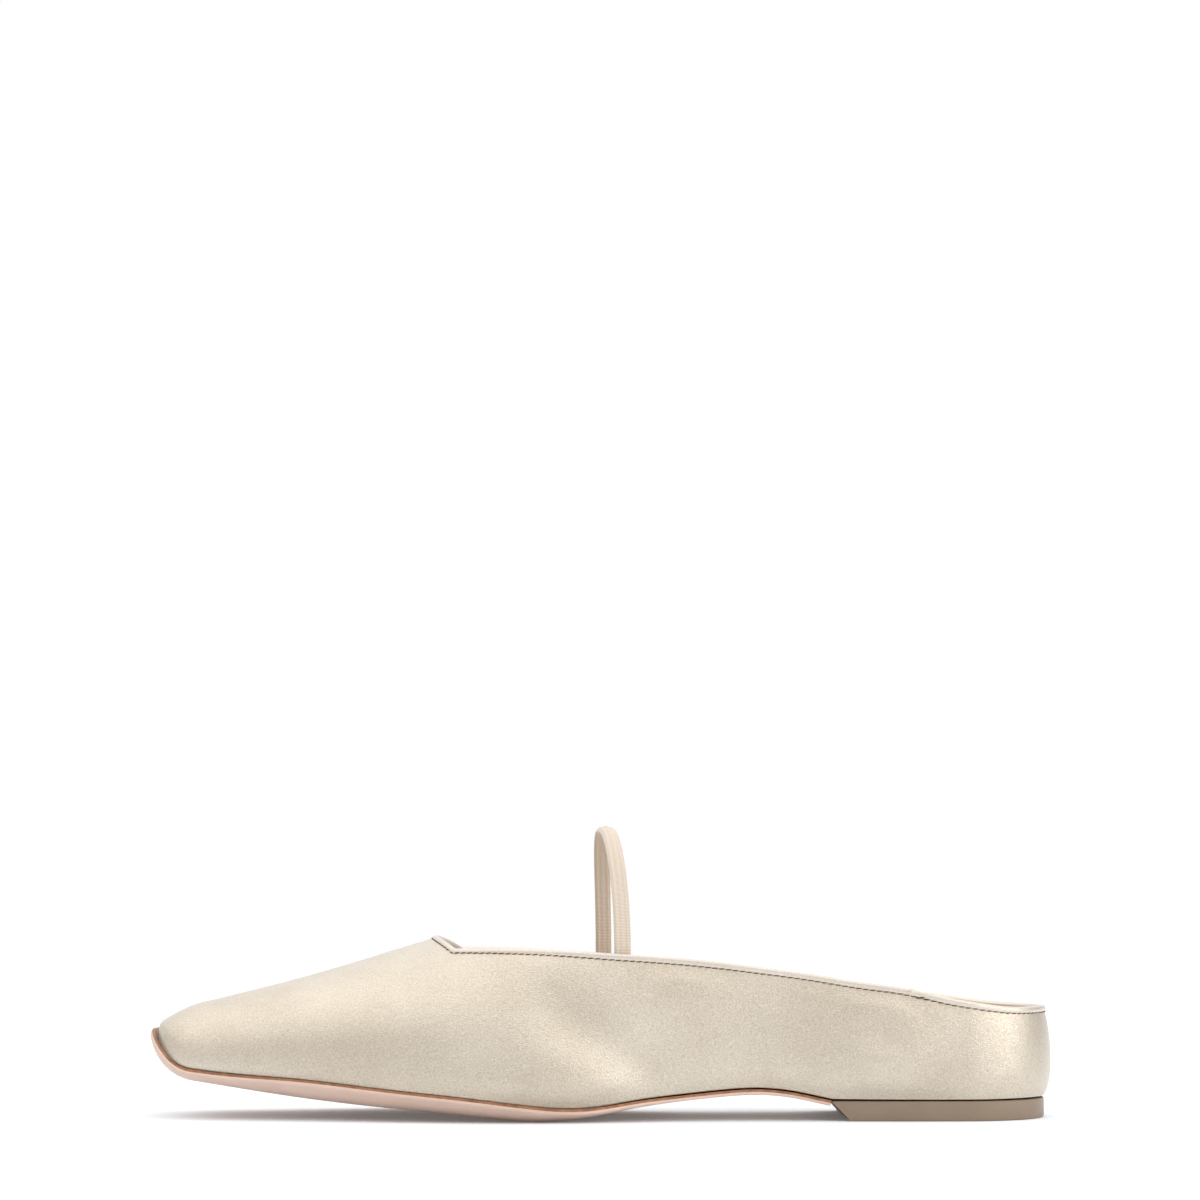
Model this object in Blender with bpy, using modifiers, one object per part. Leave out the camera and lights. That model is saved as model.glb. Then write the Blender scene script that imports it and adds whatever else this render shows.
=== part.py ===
"""Left flat slip-on shoe with a soft square toe, a low back and an elastic strap over the instep.

The frame is in metres with +Z up. The toe points to -X, the heel to +X, the little-toe (lateral)
side faces -Y and the big-toe (medial) side faces +Y. The origin is on the floor, under the middle
of the box around the shoe.

Lengths along the shoe are told from the back of the heel. A place inside an outline is told by its
spread: -1 at the lateral edge, 0 at the middle line and 1 at the medial edge.
"""

import math
from collections import namedtuple

import bmesh
import bpy
import numpy as np
from mathutils import Matrix, Vector

# The last: overall sizes of the shoe
SHOE_LENGTH = 0.2600
BALL_WIDTH = 0.0750
WAIST_WIDTH = 0.0530
HEEL_WIDTH = 0.0565
TOE_WIDTH = 0.0400
THROAT_HEIGHT = 0.0508
TOE_BOX_HEIGHT = 0.0326
BACK_HEIGHT = 0.0298

# The last: how the outline closes at its two ends
TOE_ROUNDING = 0.0170
TOE_SQUARENESS = 2.6
HEEL_ROUNDING = 0.0270
HEEL_SQUARENESS = 2.15
HEEL_TUCK = 0.0020

# The last: how far the wall tucks in below its widest line, and how high that line runs
HEEL_UNDERCUT = 0.0021
WAIST_UNDERCUT = 0.0055
BALL_UNDERCUT = 0.0010
BELLY_RISE = 0.0115
TUCK_POWER = 3
SECTION_FULLNESS = 2.2
SECTION_CROWN = 2.05

# Sole and heel
SOLE_THICKNESS = 0.0015
SOLE_LIP = 0.0004
SOLE_CUP = 0.0046
CUP_STEEPNESS = 7
TOE_CURL = 0.0060
TOE_CURL_LENGTH = 0.0140
TOE_CURL_POWER = 1.8
TOE_SPRING = 0.0126
ARCH_HEIGHT = 0.0070
TREAD_DIP = 0.0004
HEEL_HEIGHT = 0.0056
BREAST_TOP = 0.0648
BREAST_SLANT = 0.0046
HEEL_INSET = 0.0001
HEEL_EDGE_ROUND = 0.0006

# Upper, insole, binding and strap
UPPER_WALL = 0.0016
THROAT_FROM_HEEL = 0.1790
CORNER_FROM_HEEL = 0.1722
THROAT_ROUNDNESS = 2.2
SHOULDER_SPREAD = 0.60
INSOLE_THICKNESS = 0.0022
INSOLE_EDGE_GAP = 0.0008
INSOLE_TOE_GAP = 0.0026
BINDING_HEIGHT = 0.0018
BINDING_BULGE = 0.0005
BINDING_SQUARENESS = 2.8
STRAP_WIDTH = 0.0047
STRAP_THICKNESS = 0.0013
STRAP_CROWN_HEIGHT = 0.0836
STRAP_TUCK = 0.0085
STRAP_LATERAL_FROM_HEEL = 0.1236
STRAP_MEDIAL_FROM_HEEL = 0.1289
STRAP_LEAN = 0.0022
STRAP_ROUNDNESS = 2.3
STRAP_SQUARENESS = 4.5
FIT_GAP = 0.0003
FEATHER_GAP = 0.0006
FEATHER_TOE_GAP = 0.0013
INSOLE_GAP = 0.0005
STRAP_GAP = 0.0007

# How finely the faceted solids are cut
HEEL_COLUMNS = 9
QUARTER_COLUMNS = 19
VAMP_COLUMNS = 11
TOE_COLUMNS = 5
ACROSS_COLUMNS = 12
LOWER_ROWS = 3
UPPER_ROWS = 6
BED_COLUMNS = 12
BED_END_ROWS = 9
BED_SIDE_ROWS = 20
SEAT_ROWS = 4
SEAT_TURN_POINTS = 10
STRAP_ARCH_SEGMENTS = 28
STRAP_TUCK_SEGMENTS = 4
STRAP_SMOOTHING = 2
BAND_SIDES = 8

MERGE_DISTANCE = 1e-6
SMALL_STEP = 1e-4
SMOOTH_ANGLE = math.radians(40)

OutlineRow = namedtuple("OutlineRow", "station lateral medial")
UndercutRow = namedtuple("UndercutRow", "station lateral medial rise")
HeightRow = namedtuple("HeightRow", "station height")
SkewRow = namedtuple("SkewRow", "station skew")

# Half-widths of the upper at its widest line, as if the ends did not close
OUTLINE = [
    OutlineRow(0.00, 0.460 * HEEL_WIDTH, 0.460 * HEEL_WIDTH),
    OutlineRow(0.08, 0.492 * HEEL_WIDTH, 0.496 * HEEL_WIDTH),
    OutlineRow(0.16, 0.505 * HEEL_WIDTH, 0.495 * HEEL_WIDTH),
    OutlineRow(0.25, 0.500 * HEEL_WIDTH, 0.455 * HEEL_WIDTH),
    OutlineRow(0.35, 0.545 * WAIST_WIDTH, 0.455 * WAIST_WIDTH),
    OutlineRow(0.43, 0.415 * BALL_WIDTH, 0.338 * BALL_WIDTH),
    OutlineRow(0.50, 0.460 * BALL_WIDTH, 0.386 * BALL_WIDTH),
    OutlineRow(0.57, 0.494 * BALL_WIDTH, 0.449 * BALL_WIDTH),
    OutlineRow(0.65, 0.488 * BALL_WIDTH, 0.500 * BALL_WIDTH),
    OutlineRow(0.74, 0.432 * BALL_WIDTH, 0.482 * BALL_WIDTH),
    OutlineRow(0.83, 0.362 * BALL_WIDTH, 0.414 * BALL_WIDTH),
    OutlineRow(0.92, 0.550 * TOE_WIDTH, 0.625 * TOE_WIDTH),
    OutlineRow(1.00, 0.470 * TOE_WIDTH, 0.530 * TOE_WIDTH),
]

# How far the feather line lies inside the widest line, and how high the widest line is above it
UNDERCUT = [
    UndercutRow(0.00, 1.0 * HEEL_UNDERCUT, 1.0 * HEEL_UNDERCUT, 1.00 * BELLY_RISE),
    UndercutRow(0.20, 1.0 * HEEL_UNDERCUT, 1.4 * HEEL_UNDERCUT, 1.00 * BELLY_RISE),
    UndercutRow(0.36, 1.1 * HEEL_UNDERCUT, 1.0 * WAIST_UNDERCUT, 1.10 * BELLY_RISE),
    UndercutRow(0.50, 0.7 * HEEL_UNDERCUT, 0.6 * WAIST_UNDERCUT, 0.95 * BELLY_RISE),
    UndercutRow(0.64, 1.0 * BALL_UNDERCUT, 1.5 * BALL_UNDERCUT, 0.80 * BELLY_RISE),
    UndercutRow(0.80, 1.0 * BALL_UNDERCUT, 1.0 * BALL_UNDERCUT, 0.62 * BELLY_RISE),
    UndercutRow(0.92, 0.7 * BALL_UNDERCUT, 0.7 * BALL_UNDERCUT, 0.30 * BELLY_RISE),
    UndercutRow(1.00, 0.0 * BALL_UNDERCUT, 0.0 * BALL_UNDERCUT, 0.10 * BELLY_RISE),
]

# The ridge of the vamp, and behind the throat the cone of the last that the quarters lean to
INSTEP_DROP = THROAT_HEIGHT - TOE_BOX_HEIGHT
RIDGE = [
    HeightRow(0.00, 1.04 * THROAT_HEIGHT),
    HeightRow(0.08, 1.16 * THROAT_HEIGHT),
    HeightRow(0.16, 1.34 * THROAT_HEIGHT),
    HeightRow(0.25, 1.52 * THROAT_HEIGHT),
    HeightRow(0.35, 1.62 * THROAT_HEIGHT),
    HeightRow(0.43, 1.56 * THROAT_HEIGHT),
    HeightRow(0.50, 1.40 * THROAT_HEIGHT),
    HeightRow(0.58, 1.21 * THROAT_HEIGHT),
    HeightRow(0.6885, THROAT_HEIGHT),
    HeightRow(0.745, TOE_BOX_HEIGHT + 0.755 * INSTEP_DROP),
    HeightRow(0.80, TOE_BOX_HEIGHT + 0.520 * INSTEP_DROP),
    HeightRow(0.86, TOE_BOX_HEIGHT + 0.285 * INSTEP_DROP),
    HeightRow(0.915, TOE_BOX_HEIGHT + 0.090 * INSTEP_DROP),
    HeightRow(0.945, TOE_BOX_HEIGHT),
    HeightRow(1.00, 1.01 * TOE_BOX_HEIGHT),
]

# How far the ridge stands to the medial side, as a share of the half-width
RIDGE_SKEW = [
    SkewRow(0.00, 0.00),
    SkewRow(0.30, 0.00),
    SkewRow(0.50, 0.05),
    SkewRow(0.66, 0.09),
    SkewRow(0.80, 0.07),
    SkewRow(0.93, 0.01),
    SkewRow(1.00, 0.00),
]

# Underside of the sole along its middle
KEEL = [
    HeightRow(BREAST_TOP / SHOE_LENGTH, HEEL_HEIGHT - SOLE_THICKNESS),
    HeightRow(0.262, 0.68 * ARCH_HEIGHT),
    HeightRow(0.290, 0.88 * ARCH_HEIGHT),
    HeightRow(0.327, 1.00 * ARCH_HEIGHT),
    HeightRow(0.372, 0.92 * ARCH_HEIGHT),
    HeightRow(0.430, 0.68 * ARCH_HEIGHT),
    HeightRow(0.460, 0.51 * ARCH_HEIGHT),
    HeightRow(0.500, 0.22 * ARCH_HEIGHT),
    HeightRow(0.535, 0.02 * ARCH_HEIGHT),
    HeightRow(0.570, -TREAD_DIP),
    HeightRow(0.610, 0.015 * TOE_SPRING),
    HeightRow(0.650, 0.105 * TOE_SPRING),
    HeightRow(0.710, 0.215 * TOE_SPRING),
    HeightRow(0.780, 0.350 * TOE_SPRING),
    HeightRow(0.860, 0.560 * TOE_SPRING),
    HeightRow(0.930, 0.785 * TOE_SPRING),
    HeightRow(1.000, 1.000 * TOE_SPRING),
]

# How far the sole's rim stands above its middle
CUP = [
    OutlineRow(0.00, 0.00 * SOLE_CUP, 0.00 * SOLE_CUP),
    OutlineRow(0.22, 0.00 * SOLE_CUP, 0.00 * SOLE_CUP),
    OutlineRow(0.27, 0.04 * SOLE_CUP, 0.14 * SOLE_CUP),
    OutlineRow(0.33, 0.09 * SOLE_CUP, 0.46 * SOLE_CUP),
    OutlineRow(0.40, 0.09 * SOLE_CUP, 0.70 * SOLE_CUP),
    OutlineRow(0.46, 0.18 * SOLE_CUP, 0.75 * SOLE_CUP),
    OutlineRow(0.52, 0.38 * SOLE_CUP, 0.78 * SOLE_CUP),
    OutlineRow(0.58, 0.80 * SOLE_CUP, 0.86 * SOLE_CUP),
    OutlineRow(0.65, 0.90 * SOLE_CUP, 0.95 * SOLE_CUP),
    OutlineRow(0.74, 0.96 * SOLE_CUP, 0.97 * SOLE_CUP),
    OutlineRow(0.83, 0.92 * SOLE_CUP, 0.92 * SOLE_CUP),
    OutlineRow(0.89, 0.64 * SOLE_CUP, 0.64 * SOLE_CUP),
    OutlineRow(0.94, 0.48 * SOLE_CUP, 0.48 * SOLE_CUP),
    OutlineRow(0.97, 0.66 * SOLE_CUP, 0.66 * SOLE_CUP),
    OutlineRow(1.00, 1.60 * SOLE_CUP, 1.60 * SOLE_CUP),
]

# How far the top line has dropped, from the throat's corner to the back of the heel
COLLAR = [
    OutlineRow(0.000, 1.000, 1.000),
    OutlineRow(0.060, 0.990, 0.955),
    OutlineRow(0.090, 0.930, 0.895),
    OutlineRow(0.125, 0.840, 0.825),
    OutlineRow(0.165, 0.700, 0.730),
    OutlineRow(0.220, 0.580, 0.620),
    OutlineRow(0.270, 0.455, 0.505),
    OutlineRow(0.325, 0.340, 0.395),
    OutlineRow(0.380, 0.238, 0.295),
    OutlineRow(0.435, 0.162, 0.220),
    OutlineRow(0.490, 0.105, 0.160),
    OutlineRow(0.540, 0.048, 0.095),
    OutlineRow(0.590, 0.012, 0.040),
    OutlineRow(0.655, 0.000, 0.000),
]

Column = namedtuple("Column", "zone along spread")
Frame = namedtuple("Frame", "centre wide thick")
Section = namedtuple("Section", "width thickness squareness closed")
Finish = namedtuple("Finish", "name colour roughness metallic")

SATIN = Finish("champagne_satin", (0.70, 0.64, 0.53), 0.42, 0.0)
BINDING_SATIN = Finish("binding_satin", (0.72, 0.66, 0.55), 0.45, 0.0)
SOLE_LEATHER = Finish("sole_leather", (0.80, 0.63, 0.55), 0.55, 0.0)
HEEL_LACQUER = Finish("heel_lacquer", (0.36, 0.29, 0.23), 0.40, 0.0)
INSOLE_LEATHER = Finish("insole_leather", (0.78, 0.66, 0.53), 0.55, 0.0)
ELASTIC = Finish("ribbed_elastic", (0.76, 0.66, 0.56), 0.80, 0.0)


class TableCurve:
    """A natural cubic curve through one column of a table, over lengths from the heel."""

    def __init__(self, rows, column):
        self.at = np.array([row.station * SHOE_LENGTH for row in rows])
        self.value = np.array([getattr(row, column) for row in rows])
        step = np.diff(self.at)
        slope = np.diff(self.value) / step
        count = len(rows)
        system = np.eye(count)
        target = np.zeros(count)
        for i in range(1, count - 1):
            system[i, i - 1] = step[i - 1]
            system[i, i] = 2 * (step[i - 1] + step[i])
            system[i, i + 1] = step[i]
            target[i] = 6 * (slope[i] - slope[i - 1])
        self.bend = np.linalg.solve(system, target)

    def __call__(self, length):
        held = min(max(length, self.at[0]), self.at[-1])
        i = min(int(np.searchsorted(self.at, held, side="right")) - 1, len(self.at) - 2)
        step = self.at[i + 1] - self.at[i]
        before, after = self.at[i + 1] - held, held - self.at[i]
        cubic = self.bend[i] * before**3 + self.bend[i + 1] * after**3
        linear = (self.value[i] / step - self.bend[i] * step / 6) * before
        linear += (self.value[i + 1] / step - self.bend[i + 1] * step / 6) * after
        return float(cubic / (6 * step) + linear)


LATERAL_HALF = TableCurve(OUTLINE, "lateral")
MEDIAL_HALF = TableCurve(OUTLINE, "medial")
LATERAL_UNDERCUT = TableCurve(UNDERCUT, "lateral")
MEDIAL_UNDERCUT = TableCurve(UNDERCUT, "medial")
BELLY_ABOVE_RIM = TableCurve(UNDERCUT, "rise")
RIDGE_HEIGHT = TableCurve(RIDGE, "height")
SKEW = TableCurve(RIDGE_SKEW, "skew")
KEEL_HEIGHT = TableCurve(KEEL, "height")
LATERAL_CUP = TableCurve(CUP, "lateral")
MEDIAL_CUP = TableCurve(CUP, "medial")
LATERAL_DROP = TableCurve(COLLAR, "lateral")
MEDIAL_DROP = TableCurve(COLLAR, "medial")

TOE_START = SHOE_LENGTH - TOE_ROUNDING
BED_TOE_END = SHOE_LENGTH - SOLE_THICKNESS
FEATHER_TOE_END = BED_TOE_END - FEATHER_TOE_GAP
HEEL_START = HEEL_ROUNDING


def ease(share):
    """A share from 0 to 1 with level ends."""
    held = min(max(share, 0.0), 1.0)
    return held * held * (3 - 2 * held)


def mixed(lateral, medial, spread):
    """A value that runs from its lateral size to its medial size across the shoe."""
    return lateral + (medial - lateral) * ease((spread + 1) / 2)


def position(length, across, height):
    """A point of the shoe from its length from the heel, its Y and its height."""
    return Vector((SHOE_LENGTH / 2 - length, across, height))


def plan_across(length, spread):
    """The Y of a place on the upper, at its widest line or above it."""
    lateral, medial = LATERAL_HALF(length), MEDIAL_HALF(length)
    skewed = spread + SKEW(length) * (1 - spread * spread)
    return (medial - lateral) / 2 + (medial + lateral) / 2 * skewed


def feather_halves(length):
    """Lateral and medial half-widths of the feather line, where the wall meets the sole."""
    lateral = LATERAL_HALF(length) - LATERAL_UNDERCUT(length)
    medial = MEDIAL_HALF(length) - MEDIAL_UNDERCUT(length)
    return lateral, medial


def bed_height(length, across):
    """The top of the outsole, or of the heel where there is no outsole, at a place in plan."""
    lateral, medial = feather_halves(length)
    middle, half = (medial - lateral) / 2, (medial + lateral) / 2 + SOLE_LIP
    spread = min(max((across - middle) / half, -1.0), 1.0)
    reach = max(0.0, (length - TOE_START) / (BED_TOE_END - TOE_START))
    edge = (abs(spread) ** TOE_SQUARENESS + reach**TOE_SQUARENESS) ** (1 / TOE_SQUARENESS)
    cup = mixed(LATERAL_CUP(length), MEDIAL_CUP(length), spread)
    curl = max(0.0, (length - SHOE_LENGTH + TOE_CURL_LENGTH) / TOE_CURL_LENGTH)
    rise = cup * min(edge, 1.0) ** CUP_STEEPNESS + TOE_CURL * curl**TOE_CURL_POWER
    return KEEL_HEIGHT(length) + SOLE_THICKNESS + rise


def bed_normal(length, across):
    """The direction square to the bed, pointing up."""
    back, ahead = max(length - SMALL_STEP, 0.0), min(length + SMALL_STEP, BED_TOE_END)
    climb = (bed_height(ahead, across) - bed_height(back, across)) / (ahead - back)
    right, left = across + SMALL_STEP, across - SMALL_STEP
    tilt = (bed_height(length, right) - bed_height(length, left)) / (2 * SMALL_STEP)
    return Vector((climb, -tilt, 1.0)).normalized()


def rim_height(length, spread):
    """The height of the feather line, mixed between the two sides of the shoe."""
    lateral, medial = feather_halves(length)
    return mixed(bed_height(length, -lateral), bed_height(length, medial), spread) + FEATHER_GAP


def belly_height(length, spread):
    """The height of the upper's widest line beside a place."""
    return rim_height(length, spread) + BELLY_ABOVE_RIM(length)


def column_length(column, inward, tuck):
    """Length from the heel of a place on a column; tuck is 1 at the feather line, 0 above it."""
    if column.zone == "side":
        return column.along
    if column.zone == "toe":
        return TOE_START + column.along * inward * (FEATHER_TOE_END - TOE_START)
    return HEEL_START - column.along * inward * (HEEL_START - HEEL_TUCK * tuck)


def wall_point(column, inward):
    """A point of the upper's outer face, at its widest line where inward is 1, or above it."""
    length = column_length(column, inward, 0.0)
    spread = column.spread * inward
    foot = belly_height(length, spread)
    share = max(0.0, 1 - inward**SECTION_FULLNESS) ** (1 / SECTION_CROWN)
    height = foot + (RIDGE_HEIGHT(length) - foot) * share
    return position(length, plan_across(length, spread), height)


def lower_wall_point(column, climb):
    """A point of the outer face from the feather line, climb 0, to the widest line, climb 1."""
    undercut = LATERAL_UNDERCUT if column.spread < 0 else MEDIAL_UNDERCUT
    tuck = (1 - climb) ** TUCK_POWER
    length = column_length(column, 1.0, tuck)
    across = plan_across(length, column.spread) - column.spread * undercut(length) * tuck
    foot_length = column_length(column, 1.0, 1.0)
    foot_across = plan_across(foot_length, column.spread)
    foot_across -= column.spread * undercut(foot_length)
    foot = bed_height(foot_length, foot_across) + FEATHER_GAP
    top = wall_point(column, 1.0).z
    return position(length, across, foot + (top - foot) * climb)


def shoulder_lift():
    """The angle up a section at which the vamp's crown begins."""
    return math.acos(SHOULDER_SPREAD ** (SECTION_FULLNESS / 2))


def inward_at(lift):
    """How far from the middle line a section is at an angle up it."""
    return math.cos(lift) ** (2 / SECTION_FULLNESS)


def collar_lift(column):
    """The angle up a section at which the top line cuts the quarter."""
    length = column_length(column, 1.0, 0.0)
    corner = wall_point(Column("side", CORNER_FROM_HEEL, column.spread), SHOULDER_SPREAD).z
    drop = mixed(LATERAL_DROP(length), MEDIAL_DROP(length), column.spread)
    height = corner + (BACK_HEIGHT - corner) * drop
    foot = belly_height(length, column.spread)
    share = (height - foot) / (RIDGE_HEIGHT(length) - foot)
    return math.asin(share ** (SECTION_CROWN / 2))


def column_lift(column):
    """The angle up a section at which a column of the wall ends."""
    ahead_of_corner = column.zone == "side" and column.along >= CORNER_FROM_HEEL - SMALL_STEP
    if column.zone == "toe" or ahead_of_corner:
        return shoulder_lift()
    return collar_lift(column)


def squared(along, across, squareness):
    """A place of a square grid moved so that the grid's edge follows a rounded end."""
    reach = max(along, abs(across))
    if along <= 0 or reach == 0:
        return along, across
    ring = (along**squareness + abs(across) ** squareness) ** (1 / squareness)
    return along * reach / ring, across * reach / ring


def heel_columns(side):
    """Columns round the back of the heel, from its middle to where the side begins."""
    columns = []
    for i in range(HEEL_COLUMNS):
        turn = math.pi / 2 * (1 - i / HEEL_COLUMNS)
        back = math.sin(turn) ** (2 / HEEL_SQUARENESS)
        out = math.cos(turn) ** (2 / HEEL_SQUARENESS) if i else 0.0
        columns.append(Column("heel", back, side * out))
    return columns


def quarter_columns(side):
    """Columns along one quarter, from the heel's turn to the throat's corner."""
    span = CORNER_FROM_HEEL - HEEL_START
    shares = [i / QUARTER_COLUMNS for i in range(QUARTER_COLUMNS + 1)]
    return [Column("side", HEEL_START + span * share, side) for share in shares]


def vamp_columns(side):
    """Columns along one side of the vamp, from the throat's corner up to the toe's corner."""
    span = TOE_START - CORNER_FROM_HEEL
    columns = []
    for i in range(1, VAMP_COLUMNS + 1):
        columns.append(Column("side", CORNER_FROM_HEEL + span * i / VAMP_COLUMNS, side))
    for i in range(1, TOE_COLUMNS + 1):
        columns.append(Column("toe", *squared(i / TOE_COLUMNS, side, TOE_SQUARENESS)))
    return columns


def front_columns():
    """Columns across the front of the toe, between its two corners."""
    shares = [2 * i / ACROSS_COLUMNS - 1 for i in range(1, ACROSS_COLUMNS)]
    return [Column("toe", *squared(1.0, share, TOE_SQUARENESS)) for share in shares]


def belt_columns():
    """Every column of the wall, once round from the back of the heel by the lateral side."""
    lateral = heel_columns(-1) + quarter_columns(-1) + vamp_columns(-1)
    medial = heel_columns(1)[1:] + quarter_columns(1) + vamp_columns(1)
    return lateral + front_columns() + medial[::-1]


def belt_point(column, row):
    """The point of a column at a row of the wall, from the feather line up."""
    if row <= LOWER_ROWS:
        return lower_wall_point(column, (row / LOWER_ROWS) ** 1.5)
    lift = column_lift(column) * (row - LOWER_ROWS) / UPPER_ROWS
    return wall_point(column, inward_at(lift))


def throat_length(across):
    """Length from the heel of the throat's edge."""
    depth = THROAT_FROM_HEEL - CORNER_FROM_HEEL
    return CORNER_FROM_HEEL + depth * (1 - abs(across) ** THROAT_ROUNDNESS)


def crown_point(row, step):
    """A point of the vamp's crown, in a row from the throat to the toe and a step across it."""
    across = 2 * step / ACROSS_COLUMNS - 1
    if row <= VAMP_COLUMNS:
        rear = throat_length(across)
        length = rear + (TOE_START - rear) * row / VAMP_COLUMNS
        column = Column("side", length, math.copysign(1.0, across))
        return wall_point(column, abs(across) * SHOULDER_SPREAD)
    along = (row - VAMP_COLUMNS) / TOE_COLUMNS
    reach = max(along, abs(across))
    column = Column("toe", *squared(along / reach, across / reach, TOE_SQUARENESS))
    return wall_point(column, reach * SHOULDER_SPREAD)


def bed_shares(count, both_ways):
    """Shares from 0 to 1, or from -1 to 1, that draw closer together towards the rim."""
    turns = range(-count // 2, count // 2 + 1) if both_ways else range(count + 1)
    span = count / 2 if both_ways else count
    return [math.sin(math.pi / 2 * i / span) for i in turns]


def bed_rows(with_heel_end):
    """Rows along the bed as zone and share, from the heel's breast or its back to the toe."""
    ends = bed_shares(BED_END_ROWS, False)
    rows = []
    if with_heel_end:
        rows += [("heel", share) for share in ends[:0:-1]]
        rows += [("side", length) for length in np.linspace(HEEL_START, BREAST_TOP, SEAT_ROWS + 1)]
    rows += [("side", length) for length in np.linspace(BREAST_TOP + FIT_GAP, TOE_START, BED_SIDE_ROWS + 1)]
    return rows + [("toe", share) for share in ends[1:]]


def bed_plan(row, across, inset, heel_end, toe_end):
    """Length and Y of a place of the bed, inside an outline drawn in from the feather line."""
    zone, along = row
    spread = across
    length = along
    if zone == "heel":
        along, spread = squared(along, across, HEEL_SQUARENESS)
        length = HEEL_START - along * (HEEL_START - heel_end)
    if zone == "toe":
        along, spread = squared(along, across, TOE_SQUARENESS)
        length = TOE_START + along * (toe_end - TOE_START)
    lateral, medial = feather_halves(length)
    half = (lateral + medial) / 2 - inset
    return length, (medial - lateral) / 2 + half * spread


def grid_patch(mesh, columns, rows, place):
    """Adds a grid to a mesh and puts each of its vertices where place(column, row) says."""
    made = bmesh.ops.create_grid(mesh, x_segments=columns, y_segments=rows, size=1.0)
    for vertex in made["verts"]:
        column = round((vertex.co.x + 1) / 2 * columns)
        row = round((vertex.co.y + 1) / 2 * rows)
        vertex.co = place(column, row)
    return made["verts"]


def material_of(finish):
    """The Principled material of a finish."""
    material = bpy.data.materials.new(finish.name)
    material.use_nodes = True
    shader = material.node_tree.nodes["Principled BSDF"]
    shader.inputs["Base Color"].default_value = (*finish.colour, 1.0)
    shader.inputs["Roughness"].default_value = finish.roughness
    shader.inputs["Metallic"].default_value = finish.metallic
    return material


def finished(name, mesh, finish, collection):
    """Welds a mesh, turns its faces outwards and makes it a named object with a finish."""
    bmesh.ops.remove_doubles(mesh, verts=mesh.verts, dist=MERGE_DISTANCE)
    bmesh.ops.recalc_face_normals(mesh, faces=mesh.faces)
    data = bpy.data.meshes.new(name)
    mesh.to_mesh(data)
    mesh.free()
    data.shade_smooth()
    data.set_sharp_from_angle(angle=SMOOTH_ANGLE)
    data.materials.append(material_of(finish))
    obj = bpy.data.objects.new(name, data)
    collection.objects.link(obj)
    return obj


def build_upper(collection):
    """The one-piece upper: a wall round the shoe and the vamp's crown, with its thickness inwards."""
    columns = belt_columns()
    around = len(columns)
    mesh = bmesh.new()
    grid_patch(mesh, around, LOWER_ROWS + UPPER_ROWS, lambda i, j: belt_point(columns[i % around], j))
    grid_patch(mesh, VAMP_COLUMNS + TOE_COLUMNS, ACROSS_COLUMNS, crown_point)
    upper = finished("upper", mesh, SATIN, collection)
    wall = upper.modifiers.new("wall", "SOLIDIFY")
    wall.thickness = UPPER_WALL
    wall.offset = -1
    wall.use_even_offset = True


def bed_slab(name, rows, plan, top, bottom, finish, collection):
    """A sheet that follows the bed, closed between a top and a bottom place for each plan place."""
    shares = bed_shares(BED_COLUMNS, True)
    mesh = bmesh.new()
    for place in (top, bottom):
        grid_patch(mesh, len(rows) - 1, BED_COLUMNS, lambda i, j: place(*plan(rows[i], shares[j])))
    rims = [edge for edge in mesh.edges if edge.is_boundary]
    bmesh.ops.bridge_loops(mesh, edges=rims)
    finished(name, mesh, finish, collection)


def build_outsole(collection):
    """The thin leather sole, cupped up round the feather line and flat where it treads."""

    def plan(row, across):
        return bed_plan(row, across, -SOLE_LIP, 0.0, BED_TOE_END)

    def top(length, across):
        return position(length, across, bed_height(length, across))

    def bottom(length, across):
        point = top(length, across) - bed_normal(length, across) * SOLE_THICKNESS
        point.z = max(point.z, 0.0)
        return point

    bed_slab("outsole", bed_rows(False), plan, top, bottom, SOLE_LEATHER, collection)


def build_insole(collection):
    """The footbed, lying on the outsole and the heel inside the wall of the upper."""
    inset = UPPER_WALL + INSOLE_EDGE_GAP
    heel_end = HEEL_TUCK + inset
    toe_end = FEATHER_TOE_END - UPPER_WALL - INSOLE_TOE_GAP

    def plan(row, across):
        return bed_plan(row, across, inset, heel_end, toe_end)

    def lifted(lift):
        def place(length, across):
            normal = bed_normal(length, across)
            return position(length, across, bed_height(length, across)) + normal * lift

        return place

    lowest, highest = lifted(INSOLE_GAP), lifted(INSOLE_GAP + INSOLE_THICKNESS)
    bed_slab("insole", bed_rows(True), plan, highest, lowest, INSOLE_LEATHER, collection)


def seat_outline(breast, inset):
    """The heel block's outline in plan, from its lateral front corner round to its medial one."""
    half_turn = []
    for i in range(SEAT_TURN_POINTS + 1):
        turn = math.pi / 2 * i / SEAT_TURN_POINTS
        back = math.sin(turn) ** (2 / HEEL_SQUARENESS)
        out = math.cos(turn) ** (2 / HEEL_SQUARENESS) if i < SEAT_TURN_POINTS else 0.0
        half_turn.append((HEEL_START - back * (HEEL_START - HEEL_TUCK - inset), out))
    side_rows = [breast + (HEEL_START - breast) * i / SEAT_TURN_POINTS for i in range(SEAT_TURN_POINTS)]
    places = [(length, -1.0) for length in side_rows]
    places += [(length, -out) for length, out in half_turn]
    places += [(length, out) for length, out in half_turn[-2::-1]]
    places += [(length, 1.0) for length in side_rows[::-1]]
    outline = []
    for length, spread in places:
        lateral, medial = feather_halves(length)
        half = (lateral + medial) / 2 - inset
        outline.append((length, (medial - lateral) / 2 + half * spread))
    return outline


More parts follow.
